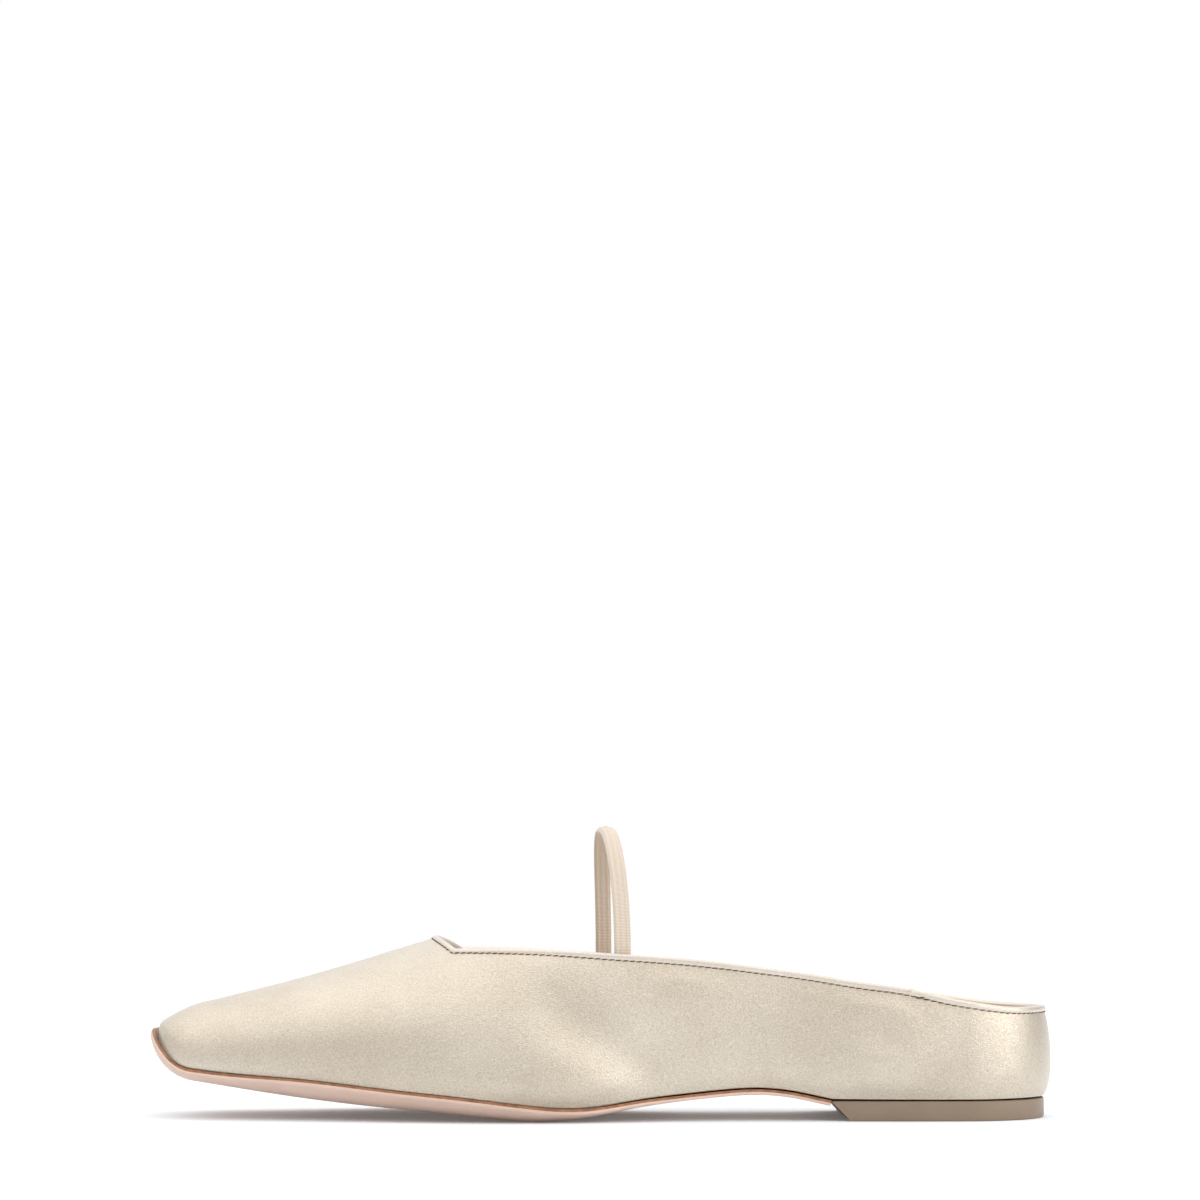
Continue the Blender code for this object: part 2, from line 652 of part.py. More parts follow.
def build_heel(collection):
    """The low stacked heel, flat below and above, with a breast that slants back to the floor."""
    rings = [
        (BREAST_TOP, HEEL_INSET, HEEL_HEIGHT),
        (BREAST_TOP - BREAST_SLANT, HEEL_INSET, HEEL_EDGE_ROUND),
        (BREAST_TOP - BREAST_SLANT - HEEL_EDGE_ROUND, HEEL_INSET + HEEL_EDGE_ROUND, 0.0),
    ]
    outlines = [seat_outline(breast, inset) for breast, inset, _ in rings]
    around = len(outlines[0])

    def place(i, j):
        length, across = outlines[j][i % around]
        return position(length, across, rings[j][2])

    mesh = bmesh.new()
    grid_patch(mesh, around, len(rings) - 1, place)
    bmesh.ops.remove_doubles(mesh, verts=mesh.verts, dist=MERGE_DISTANCE)
    bmesh.ops.holes_fill(mesh, edges=[edge for edge in mesh.edges if edge.is_boundary])
    finished("heel", mesh, HEEL_LACQUER, collection)


def filled_out(share, squareness):
    """A sine or cosine made fuller, so that a round section turns into a rounded box."""
    return math.copysign(abs(share) ** (2 / squareness), share)


def sweep(name, frames, section, finish, collection):
    """A band with rounded edges carried along frames, as a ring or with both ends closed."""
    span = len(frames) if section.closed else len(frames) - 1

    def place(i, j):
        frame = frames[i % len(frames)]
        turn = 2 * math.pi * (j + 0.5) / BAND_SIDES
        out = section.width / 2 * filled_out(math.cos(turn), section.squareness)
        up = section.thickness / 2 * filled_out(math.sin(turn), section.squareness)
        return frame.centre + frame.wide * out + frame.thick * up

    mesh = bmesh.new()
    grid_patch(mesh, span, BAND_SIDES, place)
    bmesh.ops.remove_doubles(mesh, verts=mesh.verts, dist=MERGE_DISTANCE)
    bmesh.ops.holes_fill(mesh, edges=[edge for edge in mesh.edges if edge.is_boundary])
    finished(name, mesh, finish, collection)


def collar_edge():
    """Points of the collar's edge with the way up out of the wall at each, once round."""
    lateral = heel_columns(-1) + quarter_columns(-1)
    medial = heel_columns(1)[1:] + quarter_columns(1)
    edge = [quarter_edge(column) for column in lateral]
    for step in range(1, ACROSS_COLUMNS):
        point = crown_point(0, step)
        edge.append((point, point - crown_point(1, step)))
    return edge + [quarter_edge(column) for column in medial[::-1]]


def quarter_edge(column):
    """The end of a column of the wall at the collar, and the way up out of the wall there."""
    lift = column_lift(column)
    point = wall_point(column, inward_at(lift))
    return point, point - wall_point(column, inward_at(lift * 0.8))


def build_binding(collection):
    """The narrow rolled binding that stands on the collar's edge all round."""
    edge = collar_edge()
    count = len(edge)
    frames = []
    for i, (point, way_up) in enumerate(edge):
        run = (edge[(i + 1) % count][0] - edge[i - 1][0]).normalized()
        up = (way_up - run * way_up.dot(run)).normalized()
        inwards = run.cross(up)
        centre = point + up * (FIT_GAP + BINDING_HEIGHT / 2) + inwards * UPPER_WALL / 2
        frames.append(Frame(centre, up, inwards))
    thickness = UPPER_WALL + 2 * BINDING_BULGE
    section = Section(BINDING_HEIGHT, thickness, BINDING_SQUARENESS, True)
    sweep("collar_binding", frames, section, BINDING_SATIN, collection)


def strap_anchor(side, depth):
    """Where the middle of the strap runs inside the wall on a side, a depth below its edge."""
    length = STRAP_LATERAL_FROM_HEEL if side < 0 else STRAP_MEDIAL_FROM_HEEL
    column = Column("side", length, side)
    top = column_lift(column)
    edge, below = wall_point(column, inward_at(top)), wall_point(column, inward_at(top * 0.5))
    slope = (below.y - edge.y) / (edge.z - below.z)
    clearance = STRAP_GAP + BINDING_BULGE * (1 - depth / STRAP_TUCK)
    inset = UPPER_WALL + clearance + STRAP_THICKNESS / 2
    return position(length, edge.y + slope * depth - side * inset, edge.z - depth)


def strap_path():
    """Points along the middle of the strap, from inside the lateral wall to inside the medial one."""
    above = BINDING_HEIGHT + 2 * FIT_GAP
    depths = [STRAP_TUCK - (STRAP_TUCK + above) * i / STRAP_TUCK_SEGMENTS for i in range(STRAP_TUCK_SEGMENTS)]
    lateral, medial = strap_anchor(-1, -above), strap_anchor(1, -above)
    arch = []
    for i in range(STRAP_ARCH_SEGMENTS + 1):
        turn = math.pi * i / STRAP_ARCH_SEGMENTS
        spread = -filled_out(math.cos(turn), STRAP_ROUNDNESS)
        climb = filled_out(max(math.sin(turn), 0.0), STRAP_ROUNDNESS)
        foot = lateral.lerp(medial, (1 + spread) / 2)
        lean = STRAP_LEAN * climb * climb
        arch.append(foot + Vector((-lean, 0.0, (STRAP_CROWN_HEIGHT - foot.z) * climb)))
    path = [strap_anchor(-1, depth) for depth in depths] + arch
    path += [strap_anchor(1, depth) for depth in depths[::-1]]
    for _ in range(STRAP_SMOOTHING):
        eased = [(path[i - 1] + path[i] * 2 + path[i + 1]) / 4 for i in range(1, len(path) - 1)]
        path = [path[0]] + eased + [path[-1]]
    return path


def build_strap(collection):
    """The elastic band over the instep, standing as an arch with its ends inside the quarters."""
    path = strap_path()
    frames = []
    for i, point in enumerate(path):
        run = (path[min(i + 1, len(path) - 1)] - path[max(i - 1, 0)]).normalized()
        along_shoe = Vector((1.0, 0.0, 0.0))
        wide = (along_shoe - run * run.dot(along_shoe)).normalized()
        frames.append(Frame(point, wide, run.cross(wide)))
    section = Section(STRAP_WIDTH, STRAP_THICKNESS, STRAP_SQUARENESS, False)
    sweep("instep_strap", frames, section, ELASTIC, collection)


def centre_on_floor(objects):
    """Moves the meshes so that the origin is under the middle of the box around them."""
    places = np.array([vertex.co for obj in objects for vertex in obj.data.vertices])
    low, high = places.min(axis=0), places.max(axis=0)
    shift = Vector((-(low[0] + high[0]) / 2, -(low[1] + high[1]) / 2, -low[2]))
    for obj in objects:
        obj.data.transform(Matrix.Translation(shift))


def main():
    """Clears the scene and builds the shoe."""
    for obj in list(bpy.data.objects):
        bpy.data.objects.remove(obj)
    shoe = bpy.data.collections.new("flat_shoe")
    bpy.context.scene.collection.children.link(shoe)
    build_upper(shoe)
    build_outsole(shoe)
    build_insole(shoe)
    build_heel(shoe)
    build_binding(shoe)
    build_strap(shoe)
    centre_on_floor(list(shoe.objects))


main()
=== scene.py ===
"""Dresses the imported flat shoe: champagne satin, folded binding, nude leather sole and ribbed elastic.

The frame is the CAD's own, in metres: the toe points to -X, the outer (lateral) side faces -Y and
the floor is at Z = 0. Lengths along the shoe are told from the back of the heel.
"""

import logging
import math
from dataclasses import dataclass
from enum import Enum
from typing import Callable, Sequence

import bpy
import numpy as np
from mathutils import Matrix, Vector

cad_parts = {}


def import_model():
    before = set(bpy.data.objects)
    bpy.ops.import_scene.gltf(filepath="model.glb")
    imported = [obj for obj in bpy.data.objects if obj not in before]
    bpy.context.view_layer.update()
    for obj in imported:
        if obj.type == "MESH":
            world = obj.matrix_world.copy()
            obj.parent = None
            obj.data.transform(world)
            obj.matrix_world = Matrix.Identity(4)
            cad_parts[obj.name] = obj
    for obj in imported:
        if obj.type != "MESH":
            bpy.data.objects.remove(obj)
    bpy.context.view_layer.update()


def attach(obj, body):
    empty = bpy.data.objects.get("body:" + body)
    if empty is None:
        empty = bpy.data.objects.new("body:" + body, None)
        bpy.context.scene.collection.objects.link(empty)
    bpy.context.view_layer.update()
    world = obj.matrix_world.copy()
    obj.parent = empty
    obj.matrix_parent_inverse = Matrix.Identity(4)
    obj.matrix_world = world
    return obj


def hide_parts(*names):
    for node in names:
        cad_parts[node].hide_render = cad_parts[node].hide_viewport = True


MM = 0.001
WELD_REACH = 1e-6
LOG = logging.getLogger("flat_shoe")

Place = Callable[[int, int], Vector]
Table = Sequence[tuple[float, ...]]
Term = bpy.types.NodeSocket | float
Codes = tuple[str, str]
Span = tuple[float, float]


class Side(Enum):
    """The two sides of the shoe, as the sign of their Y."""

    LATERAL = -1
    MEDIAL = 1


class Zone(Enum):
    """The part of the outline that a column of the wall belongs to."""

    HEEL = "heel"
    SIDE = "side"
    TOE = "toe"


class TableCurve:
    """A natural cubic curve through one column of a table."""

    def __init__(self, rows: Table, column: int) -> None:
        """Solves the curve's bends.

        Args:
            rows: the table, with a length in its first column.
            column: which column the curve goes through.
        """
        self.at = [row[0] for row in rows]
        self.value = [row[column] for row in rows]
        step = np.diff(self.at)
        slope = np.diff(self.value) / step
        count = len(rows)
        system, target = np.eye(count), np.zeros(count)
        for i in range(1, count - 1):
            system[i, i - 1 : i + 2] = (step[i - 1], 2 * (step[i - 1] + step[i]), step[i])
            target[i] = 6 * (slope[i] - slope[i - 1])
        self.bend = np.linalg.solve(system, target).tolist()

    def __call__(self, length: float) -> float:
        """The curve's value at a length, held constant past its ends.

        Args:
            length: length from the heel.

        Returns:
            The value.
        """
        held = min(max(length, self.at[0]), self.at[-1])
        i = 0
        while i < len(self.at) - 2 and held > self.at[i + 1]:
            i += 1
        step = self.at[i + 1] - self.at[i]
        before, after = self.at[i + 1] - held, held - self.at[i]
        cubic = self.bend[i] * before**3 + self.bend[i + 1] * after**3
        linear = (self.value[i] / step - self.bend[i] * step / 6) * before
        linear += (self.value[i + 1] / step - self.bend[i + 1] * step / 6) * after
        return cubic / (6 * step) + linear


@dataclass(frozen=True)
class Column:
    """A column of the wall: its zone, how far along it is, and how far out to the side."""

    zone: Zone
    along: float
    spread: float


def ease(share: float) -> float:
    """A share from 0 to 1 with level ends."""
    held = min(max(share, 0.0), 1.0)
    return held * held * (3 - 2 * held)


def mixed(lateral: float, medial: float, spread: float) -> float:
    """A value that runs from its lateral size to its medial size across the shoe."""
    return lateral + (medial - lateral) * ease((spread + 1) / 2)


def filled_out(share: float, squareness: float) -> float:
    """A sine or cosine made fuller, so that a round section turns into a rounded box."""
    return math.copysign(abs(share) ** (2 / squareness), share)


def squared(along: float, across: float, squareness: float) -> tuple[float, float]:
    """A place of a square grid moved so that the grid's edge follows a rounded end.

    Args:
        along: how far ahead, from 0 to 1.
        across: how far across, from -1 to 1.
        squareness: 2 for a round end, more for a squarer one.

    Returns:
        The moved place, ahead and across.
    """
    reach = max(along, abs(across))
    if along <= 0 or reach == 0:
        return along, across
    ring = (along**squareness + abs(across) ** squareness) ** (1 / squareness)
    return along * reach / ring, across * reach / ring


@dataclass
class Last:
    """The form that the shoe is made on, with the same sizes and tables as the CAD solids."""

    length: float = 260.0 * MM
    ball: float = 75.0 * MM
    waist: float = 53.0 * MM
    heel: float = 56.5 * MM
    toe: float = 40.0 * MM
    throat_height: float = 50.8 * MM
    toe_box_height: float = 32.6 * MM
    back_height: float = 29.8 * MM
    toe_rounding: float = 17.0 * MM
    toe_squareness: float = 2.6
    heel_rounding: float = 27.0 * MM
    heel_squareness: float = 2.15
    heel_tuck: float = 2.0 * MM
    heel_undercut: float = 2.1 * MM
    waist_undercut: float = 5.5 * MM
    ball_undercut: float = 1.0 * MM
    belly_rise: float = 11.5 * MM
    tuck_power: float = 3.0
    fullness: float = 2.2
    crown: float = 2.05
    sole_thickness: float = 1.5 * MM
    sole_lip: float = 0.4 * MM
    sole_cup: float = 4.6 * MM
    cup_steepness: float = 7.0
    toe_curl: float = 6.0 * MM
    toe_curl_length: float = 14.0 * MM
    toe_curl_power: float = 1.8
    toe_spring: float = 12.6 * MM
    arch_height: float = 7.0 * MM
    tread_dip: float = 0.4 * MM
    heel_height: float = 5.6 * MM
    breast_top: float = 64.8 * MM
    throat_from_heel: float = 179.0 * MM
    corner_from_heel: float = 172.2 * MM
    corner_slack: float = 0.1 * MM
    throat_roundness: float = 2.2
    shoulder_spread: float = 0.60
    wall: float = 1.6 * MM
    feather_gap: float = 0.6 * MM
    feather_toe_gap: float = 1.3 * MM
    centre: tuple[float, float] = (-0.020 * MM, -0.169 * MM)

    def __post_init__(self) -> None:
        """Draws the curves through the tables."""
        self.toe_start = self.length - self.toe_rounding
        self.bed_toe_end = self.length - self.sole_thickness
        self.feather_toe_end = self.bed_toe_end - self.feather_toe_gap
        heel, waist, ball, toe = self.heel, self.waist, self.ball, self.toe
        outline = [
            (0.00, 0.460 * heel, 0.460 * heel),
            (0.08, 0.492 * heel, 0.496 * heel),
            (0.16, 0.505 * heel, 0.495 * heel),
            (0.25, 0.500 * heel, 0.455 * heel),
            (0.35, 0.545 * waist, 0.455 * waist),
            (0.43, 0.415 * ball, 0.338 * ball),
            (0.50, 0.460 * ball, 0.386 * ball),
            (0.57, 0.494 * ball, 0.449 * ball),
            (0.65, 0.488 * ball, 0.500 * ball),
            (0.74, 0.432 * ball, 0.482 * ball),
            (0.83, 0.362 * ball, 0.414 * ball),
            (0.92, 0.550 * toe, 0.625 * toe),
            (1.00, 0.470 * toe, 0.530 * toe),
        ]
        tuck, arch_tuck, ball_tuck = self.heel_undercut, self.waist_undercut, self.ball_undercut
        rise = self.belly_rise
        undercut = [
            (0.00, tuck, tuck, rise),
            (0.20, tuck, 1.4 * tuck, rise),
            (0.36, 1.1 * tuck, arch_tuck, 1.10 * rise),
            (0.50, 0.7 * tuck, 0.6 * arch_tuck, 0.95 * rise),
            (0.64, ball_tuck, 1.5 * ball_tuck, 0.80 * rise),
            (0.80, ball_tuck, ball_tuck, 0.62 * rise),
            (0.92, 0.7 * ball_tuck, 0.7 * ball_tuck, 0.30 * rise),
            (1.00, 0.0, 0.0, 0.10 * rise),
        ]
        throat, box = self.throat_height, self.toe_box_height
        drop = throat - box
        ridge = [
            (0.00, 1.04 * throat),
            (0.08, 1.16 * throat),
            (0.16, 1.34 * throat),
            (0.25, 1.52 * throat),
            (0.35, 1.62 * throat),
            (0.43, 1.56 * throat),
            (0.50, 1.40 * throat),
            (0.58, 1.21 * throat),
            (0.6885, throat),
            (0.745, box + 0.755 * drop),
            (0.80, box + 0.520 * drop),
            (0.86, box + 0.285 * drop),
            (0.915, box + 0.090 * drop),
            (0.945, box),
            (1.00, 1.01 * box),
        ]
        skew = [
            (0.00, 0.00),
            (0.30, 0.00),
            (0.50, 0.05),
            (0.66, 0.09),
            (0.80, 0.07),
            (0.93, 0.01),
            (1.00, 0.00),
        ]
        arch, spring = self.arch_height, self.toe_spring
        keel = [
            (self.breast_top / self.length, self.heel_height - self.sole_thickness),
            (0.262, 0.68 * arch),
            (0.290, 0.88 * arch),
            (0.327, 1.00 * arch),
            (0.372, 0.92 * arch),
            (0.430, 0.68 * arch),
            (0.460, 0.51 * arch),
            (0.500, 0.22 * arch),
            (0.535, 0.02 * arch),
            (0.570, -self.tread_dip),
            (0.610, 0.015 * spring),
            (0.650, 0.105 * spring),
            (0.710, 0.215 * spring),
            (0.780, 0.350 * spring),
            (0.860, 0.560 * spring),
            (0.930, 0.785 * spring),
            (1.000, spring),
        ]
        cup = [
            (0.00, 0.00, 0.00),
            (0.22, 0.00, 0.00),
            (0.27, 0.04, 0.14),
            (0.33, 0.09, 0.46),
            (0.40, 0.09, 0.70),
            (0.46, 0.18, 0.75),
            (0.52, 0.38, 0.78),
            (0.58, 0.80, 0.86),
            (0.65, 0.90, 0.95),
            (0.74, 0.96, 0.97),
            (0.83, 0.92, 0.92),
            (0.89, 0.64, 0.64),
            (0.94, 0.48, 0.48),
            (0.97, 0.66, 0.66),
            (1.00, 1.60, 1.60),
        ]
        collar = [
            (0.000, 1.000, 1.000),
            (0.060, 0.990, 0.955),
            (0.090, 0.930, 0.895),
            (0.125, 0.840, 0.825),
            (0.165, 0.700, 0.730),
            (0.220, 0.580, 0.620),
            (0.270, 0.455, 0.505),
            (0.325, 0.340, 0.395),
            (0.380, 0.238, 0.295),
            (0.435, 0.162, 0.220),
            (0.490, 0.105, 0.160),
            (0.540, 0.048, 0.095),
            (0.590, 0.012, 0.040),
            (0.655, 0.000, 0.000),
        ]
        self.lateral_half, self.medial_half = self.curve(outline, 1), self.curve(outline, 2)
        self.lateral_tuck, self.medial_tuck = self.curve(undercut, 1), self.curve(undercut, 2)
        self.belly_above_rim = self.curve(undercut, 3)
        self.ridge_height, self.skew = self.curve(ridge, 1), self.curve(skew, 1)
        self.keel_height = self.curve(keel, 1)
        self.lateral_cup, self.medial_cup = self.curve(cup, 1), self.curve(cup, 2)
        self.lateral_drop, self.medial_drop = self.curve(collar, 1), self.curve(collar, 2)

    def curve(self, rows: Table, column: int) -> TableCurve:
        """A curve through a table whose lengths are shares of the shoe's length."""
        return TableCurve([(row[0] * self.length, *row[1:]) for row in rows], column)

    def position(self, length: float, across: float, height: float) -> Vector:
        """A point of the shoe from its length from the heel, its Y and its height."""
        return Vector((self.length / 2 - length + self.centre[0], across + self.centre[1], height))

    def plan_across(self, length: float, spread: float) -> float:
        """The Y of a place on the upper, at its widest line or above it.

        Args:
            length: length from the heel.
            spread: -1 at the lateral edge, 1 at the medial edge.

        Returns:
            Y before the shoe is centred.
        """
        lateral, medial = self.lateral_half(length), self.medial_half(length)
        skewed = spread + self.skew(length) * (1 - spread * spread)
        return (medial - lateral) / 2 + (medial + lateral) / 2 * skewed

    def feather_halves(self, length: float) -> tuple[float, float]:
        """Lateral and medial half-widths of the feather line, where the wall meets the sole.

        Args:
            length: length from the heel.

        Returns:
            The two half-widths, both positive.
        """
        lateral = self.lateral_half(length) - self.lateral_tuck(length)
        medial = self.medial_half(length) - self.medial_tuck(length)
        return lateral, medial

    def bed_height(self, length: float, across: float) -> float:
        """The top of the outsole, or of the heel where there is no outsole.

        Args:
            length: length from the heel.
            across: Y before the shoe is centred.

        Returns:
            The height over the floor.
        """
        lateral, medial = self.feather_halves(length)
        middle, half = (medial - lateral) / 2, (medial + lateral) / 2 + self.sole_lip
        spread = min(max((across - middle) / half, -1.0), 1.0)
        reach = max(0.0, (length - self.toe_start) / (self.bed_toe_end - self.toe_start))
        square = self.toe_squareness
        edge = (abs(spread) ** square + reach**square) ** (1 / square)
        cup = self.sole_cup * mixed(self.lateral_cup(length), self.medial_cup(length), spread)
        curl = max(0.0, (length - self.length + self.toe_curl_length) / self.toe_curl_length)
        rise = cup * min(edge, 1.0) ** self.cup_steepness
        rise += self.toe_curl * curl**self.toe_curl_power
        return self.keel_height(length) + self.sole_thickness + rise

    def bed_normal(self, length: float, across: float) -> Vector:
        """The direction square to the bed, pointing up.

        Args:
            length: length from the heel.
            across: Y before the shoe is centred.

        Returns:
            A unit vector.
        """
        step = 0.1 * MM
        back, ahead = max(length - step, 0.0), min(length + step, self.bed_toe_end)
        climb = (self.bed_height(ahead, across) - self.bed_height(back, across)) / (ahead - back)
        tilt = self.bed_height(length, across + step) - self.bed_height(length, across - step)
        return Vector((climb, -tilt / (2 * step), 1.0)).normalized()

    def belly_height(self, length: float, spread: float) -> float:
        """The height of the upper's widest line beside a place.

        Args:
            length: length from the heel.
            spread: -1 at the lateral edge, 1 at the medial edge.

        Returns:
            The height over the floor.
        """
        lateral, medial = self.feather_halves(length)
        rim = mixed(self.bed_height(length, -lateral), self.bed_height(length, medial), spread)
        return rim + self.feather_gap + self.belly_above_rim(length)

    def column_length(self, column: Column, inward: float, tuck: float) -> float:
        """Length from the heel of a place on a column.

        Args:
            column: the wall's column.
            inward: 1 at the widest line, 0 over the middle line.
            tuck: 1 at the feather line, 0 from the widest line up.

        Returns:
            The length.
        """
        if column.zone is Zone.SIDE:
            return column.along
        if column.zone is Zone.TOE:
            return self.toe_start + column.along * inward * (self.feather_toe_end - self.toe_start)
        return self.heel_rounding - column.along * inward * (self.heel_rounding - self.heel_tuck * tuck)

    def wall_point(self, column: Column, inward: float) -> Vector:
        """A point of the upper's outer face, at its widest line or above it.

        Args:
            column: the wall's column.
            inward: 1 at the widest line, 0 over the middle line.

        Returns:
            The point in the shoe's frame.
        """
        length = self.column_length(column, inward, 0.0)
        spread = column.spread * inward
        foot = self.belly_height(length, spread)
        share = max(0.0, 1 - inward**self.fullness) ** (1 / self.crown)
        height = foot + (self.ridge_height(length) - foot) * share
        return self.position(length, self.plan_across(length, spread), height)

    def lower_wall_point(self, column: Column, climb: float) -> Vector:
        """A point of the outer face below its widest line.

        Args:
            column: the wall's column.
            climb: 0 at the feather line, 1 at the widest line.

        Returns:
            The point in the shoe's frame.
        """
        undercut = self.lateral_tuck if column.spread < 0 else self.medial_tuck
        tuck = (1 - climb) ** self.tuck_power
        length = self.column_length(column, 1.0, tuck)
        across = self.plan_across(length, column.spread) - column.spread * undercut(length) * tuck
        foot_length = self.column_length(column, 1.0, 1.0)
        foot_across = self.plan_across(foot_length, column.spread)
        foot_across -= column.spread * undercut(foot_length)
        foot = self.bed_height(foot_length, foot_across) + self.feather_gap
        top = self.wall_point(column, 1.0).z
        return self.position(length, across, foot + (top - foot) * climb)

    def shoulder_lift(self) -> float:
        """The angle up a section at which the vamp's crown begins."""
        return math.acos(self.shoulder_spread ** (self.fullness / 2))

    def inward_at(self, lift: float) -> float:
        """How far from the middle line a section is at an angle up it."""
        return math.cos(lift) ** (2 / self.fullness)

    def column_lift(self, column: Column) -> float:
        """The angle up a section at which a column of the wall ends.

        Args:
            column: the wall's column.

        Returns:
            The angle in radians.
        """
        ahead = column.zone is Zone.SIDE and column.along >= self.corner_from_heel - self.corner_slack
        if column.zone is Zone.TOE or ahead:
            return self.shoulder_lift()
        length = self.column_length(column, 1.0, 0.0)
        corner_column = Column(Zone.SIDE, self.corner_from_heel, column.spread)
        corner = self.wall_point(corner_column, self.shoulder_spread).z
        drop = mixed(self.lateral_drop(length), self.medial_drop(length), column.spread)
        height = corner + (self.back_height - corner) * drop
        foot = self.belly_height(length, column.spread)
        share = (height - foot) / (self.ridge_height(length) - foot)
        return math.asin(share ** (self.crown / 2))

    def throat_length(self, across: float) -> float:
        """Length from the heel of the throat's edge."""
        depth = self.throat_from_heel - self.corner_from_heel
        return self.corner_from_heel + depth * (1 - abs(across) ** self.throat_roundness)


def linear(code: str) -> tuple[float, float, float, float]:
    """Turns an sRGB hex colour into the linear values that a shader takes.

    Args:
        code: six hex digits.

    Returns:
        The linear red, green and blue, and an alpha of 1.
    """
    shares = [int(code[i : i + 2], 16) / 255 for i in (0, 2, 4)]
    values = [s / 12.92 if s <= 0.04045 else ((s + 0.055) / 1.055) ** 2.4 for s in shares]
    return (*values, 1.0)


@dataclass
class NodeBench:
    """A material's node tree, to which nodes are added one at a time."""

    tree: bpy.types.NodeTree

    def add(self, kind: str, settings: dict | None = None, inputs: dict | None = None) -> bpy.types.Node:
        """Adds a node.

        Args:
            kind: the node's type name.
            settings: properties of the node itself.
            inputs: values, or output sockets to link, by input name or number.

        Returns:
            The new node.
        """
        node = self.tree.nodes.new(kind)
        for name, value in (settings or {}).items():
            setattr(node, name, value)
        for name, value in (inputs or {}).items():
            if isinstance(value, bpy.types.NodeSocket):
                self.tree.links.new(value, node.inputs[name])
            else:
                node.inputs[name].default_value = value
        return node

    def worked_out(self, operation: str, *terms: Term) -> bpy.types.NodeSocket:
        """The result of a sum on values or sockets."""
        node = self.add("ShaderNodeMath", {"operation": operation}, dict(enumerate(terms)))
        return node.outputs[0]

    def blended(self, share: Term, low: Term, high: Term) -> bpy.types.NodeSocket:
        """A value between two others, by a share."""
        node = self.add("ShaderNodeMix", {"data_type": "FLOAT"}, {0: share, 2: low, 3: high})
        return node.outputs[0]

    def noise(
        self, place: bpy.types.NodeSocket, scale: float, detail: float, rough: float, space: str = "3D"
    ) -> bpy.types.NodeSocket:
        """A cloudy pattern.

        Args:
            place: where on the piece, in metres.
            scale: how many clouds there are in a metre.
            detail: how many finer layers lie in each cloud.
            rough: how strong the finer layers are.
            space: whether the pattern is 2D or 3D.

        Returns:
            The pattern's value, about 0.5 on average.
        """
        inputs = {"Vector": place, "Scale": scale, "Detail": detail, "Roughness": rough}
        return self.add("ShaderNodeTexNoise", {"noise_dimensions": space}, inputs).outputs["Fac"]

    def colour(
        self, shader: bpy.types.Node, pattern: bpy.types.NodeSocket, codes: Codes, limits: tuple[float, float]
    ) -> None:
        """Colours a shader by a pattern.

        Args:
            shader: the Principled shader.
            pattern: the pattern's value.
            codes: hex colours for its low and its high values.
            limits: the values at which the two colours are reached.
        """
        node = self.add("ShaderNodeValToRGB", inputs={"Fac": pattern})
        for i, (code, limit) in enumerate(zip(codes, limits)):
            node.color_ramp.elements[i].position = limit
            node.color_ramp.elements[i].color = linear(code)
        self.tree.links.new(node.outputs[0], shader.inputs["Base Color"])

    def raised(
        self, shader: bpy.types.Node, height: bpy.types.NodeSocket, strength: float, distance: float
    ) -> None:
        """Gives a shader a relief, its height in metres where the strength is 1."""
        inputs = {"Strength": strength, "Distance": distance, "Height": height}
        self.tree.links.new(self.add("ShaderNodeBump", inputs=inputs).outputs[0], shader.inputs["Normal"])


@dataclass(frozen=True)
class SilkSatin:
    """Silk satin on a stiffener: long floating threads give a soft, broad sheen and a faint grain."""

    name: str = "silk_satin"
    light: str = "DCD2C2"
    deep: str = "B0A18D"
    roughness: float = 0.33
    metal: float = 0.50
    thread: float = 0.30 * MM
    grain: float = 0.42 * MM
    bump: float = 0.60
    relief: float = 0.3 * MM
    thread_stretch: float = 0.22
    clouds: float = 38.0
    grain_share: float = 0.7
    limits: tuple[float, float] = (0.30, 0.70)
    sheen: float = 0.35
    specular: float = 0.60

    def make(self) -> bpy.types.Material:
        """Builds the satin's material.

        Returns:
            The material, with its threads along the shoe.
        """
        material, bench, shader = new_material(self.name)
        place = bench.add("ShaderNodeTexCoord").outputs["Object"]
        parts = bench.add("ShaderNodeSeparateXYZ", inputs={0: place}).outputs
        girth = bench.worked_out("SUBTRACT", parts["Z"], bench.worked_out("ABSOLUTE", parts["Y"]))
        along = bench.worked_out("MULTIPLY", parts["X"], self.thread_stretch)
        cloth = bench.add("ShaderNodeCombineXYZ", inputs={0: along, 1: girth}).outputs[0]
        threads = bench.noise(cloth, 1 / self.thread, 2.0, 0.55, "2D")
        grain = bench.noise(place, 1 / self.grain, 3.0, 0.6)
        clouds = bench.noise(place, self.clouds, 3.0, 0.5)
        tone = bench.blended(self.grain_share, clouds, grain)
        bench.colour(shader, tone, (self.deep, self.light), self.limits)
        bench.raised(shader, bench.blended(0.5, threads, grain), self.bump, self.relief)
        shader.inputs["Roughness"].default_value = self.roughness
        shader.inputs["Metallic"].default_value = self.metal
        shader.inputs["Sheen Weight"].default_value = self.sheen
        shader.inputs["Sheen Roughness"].default_value = self.sheen
        shader.inputs["Specular IOR Level"].default_value = self.specular
        return material


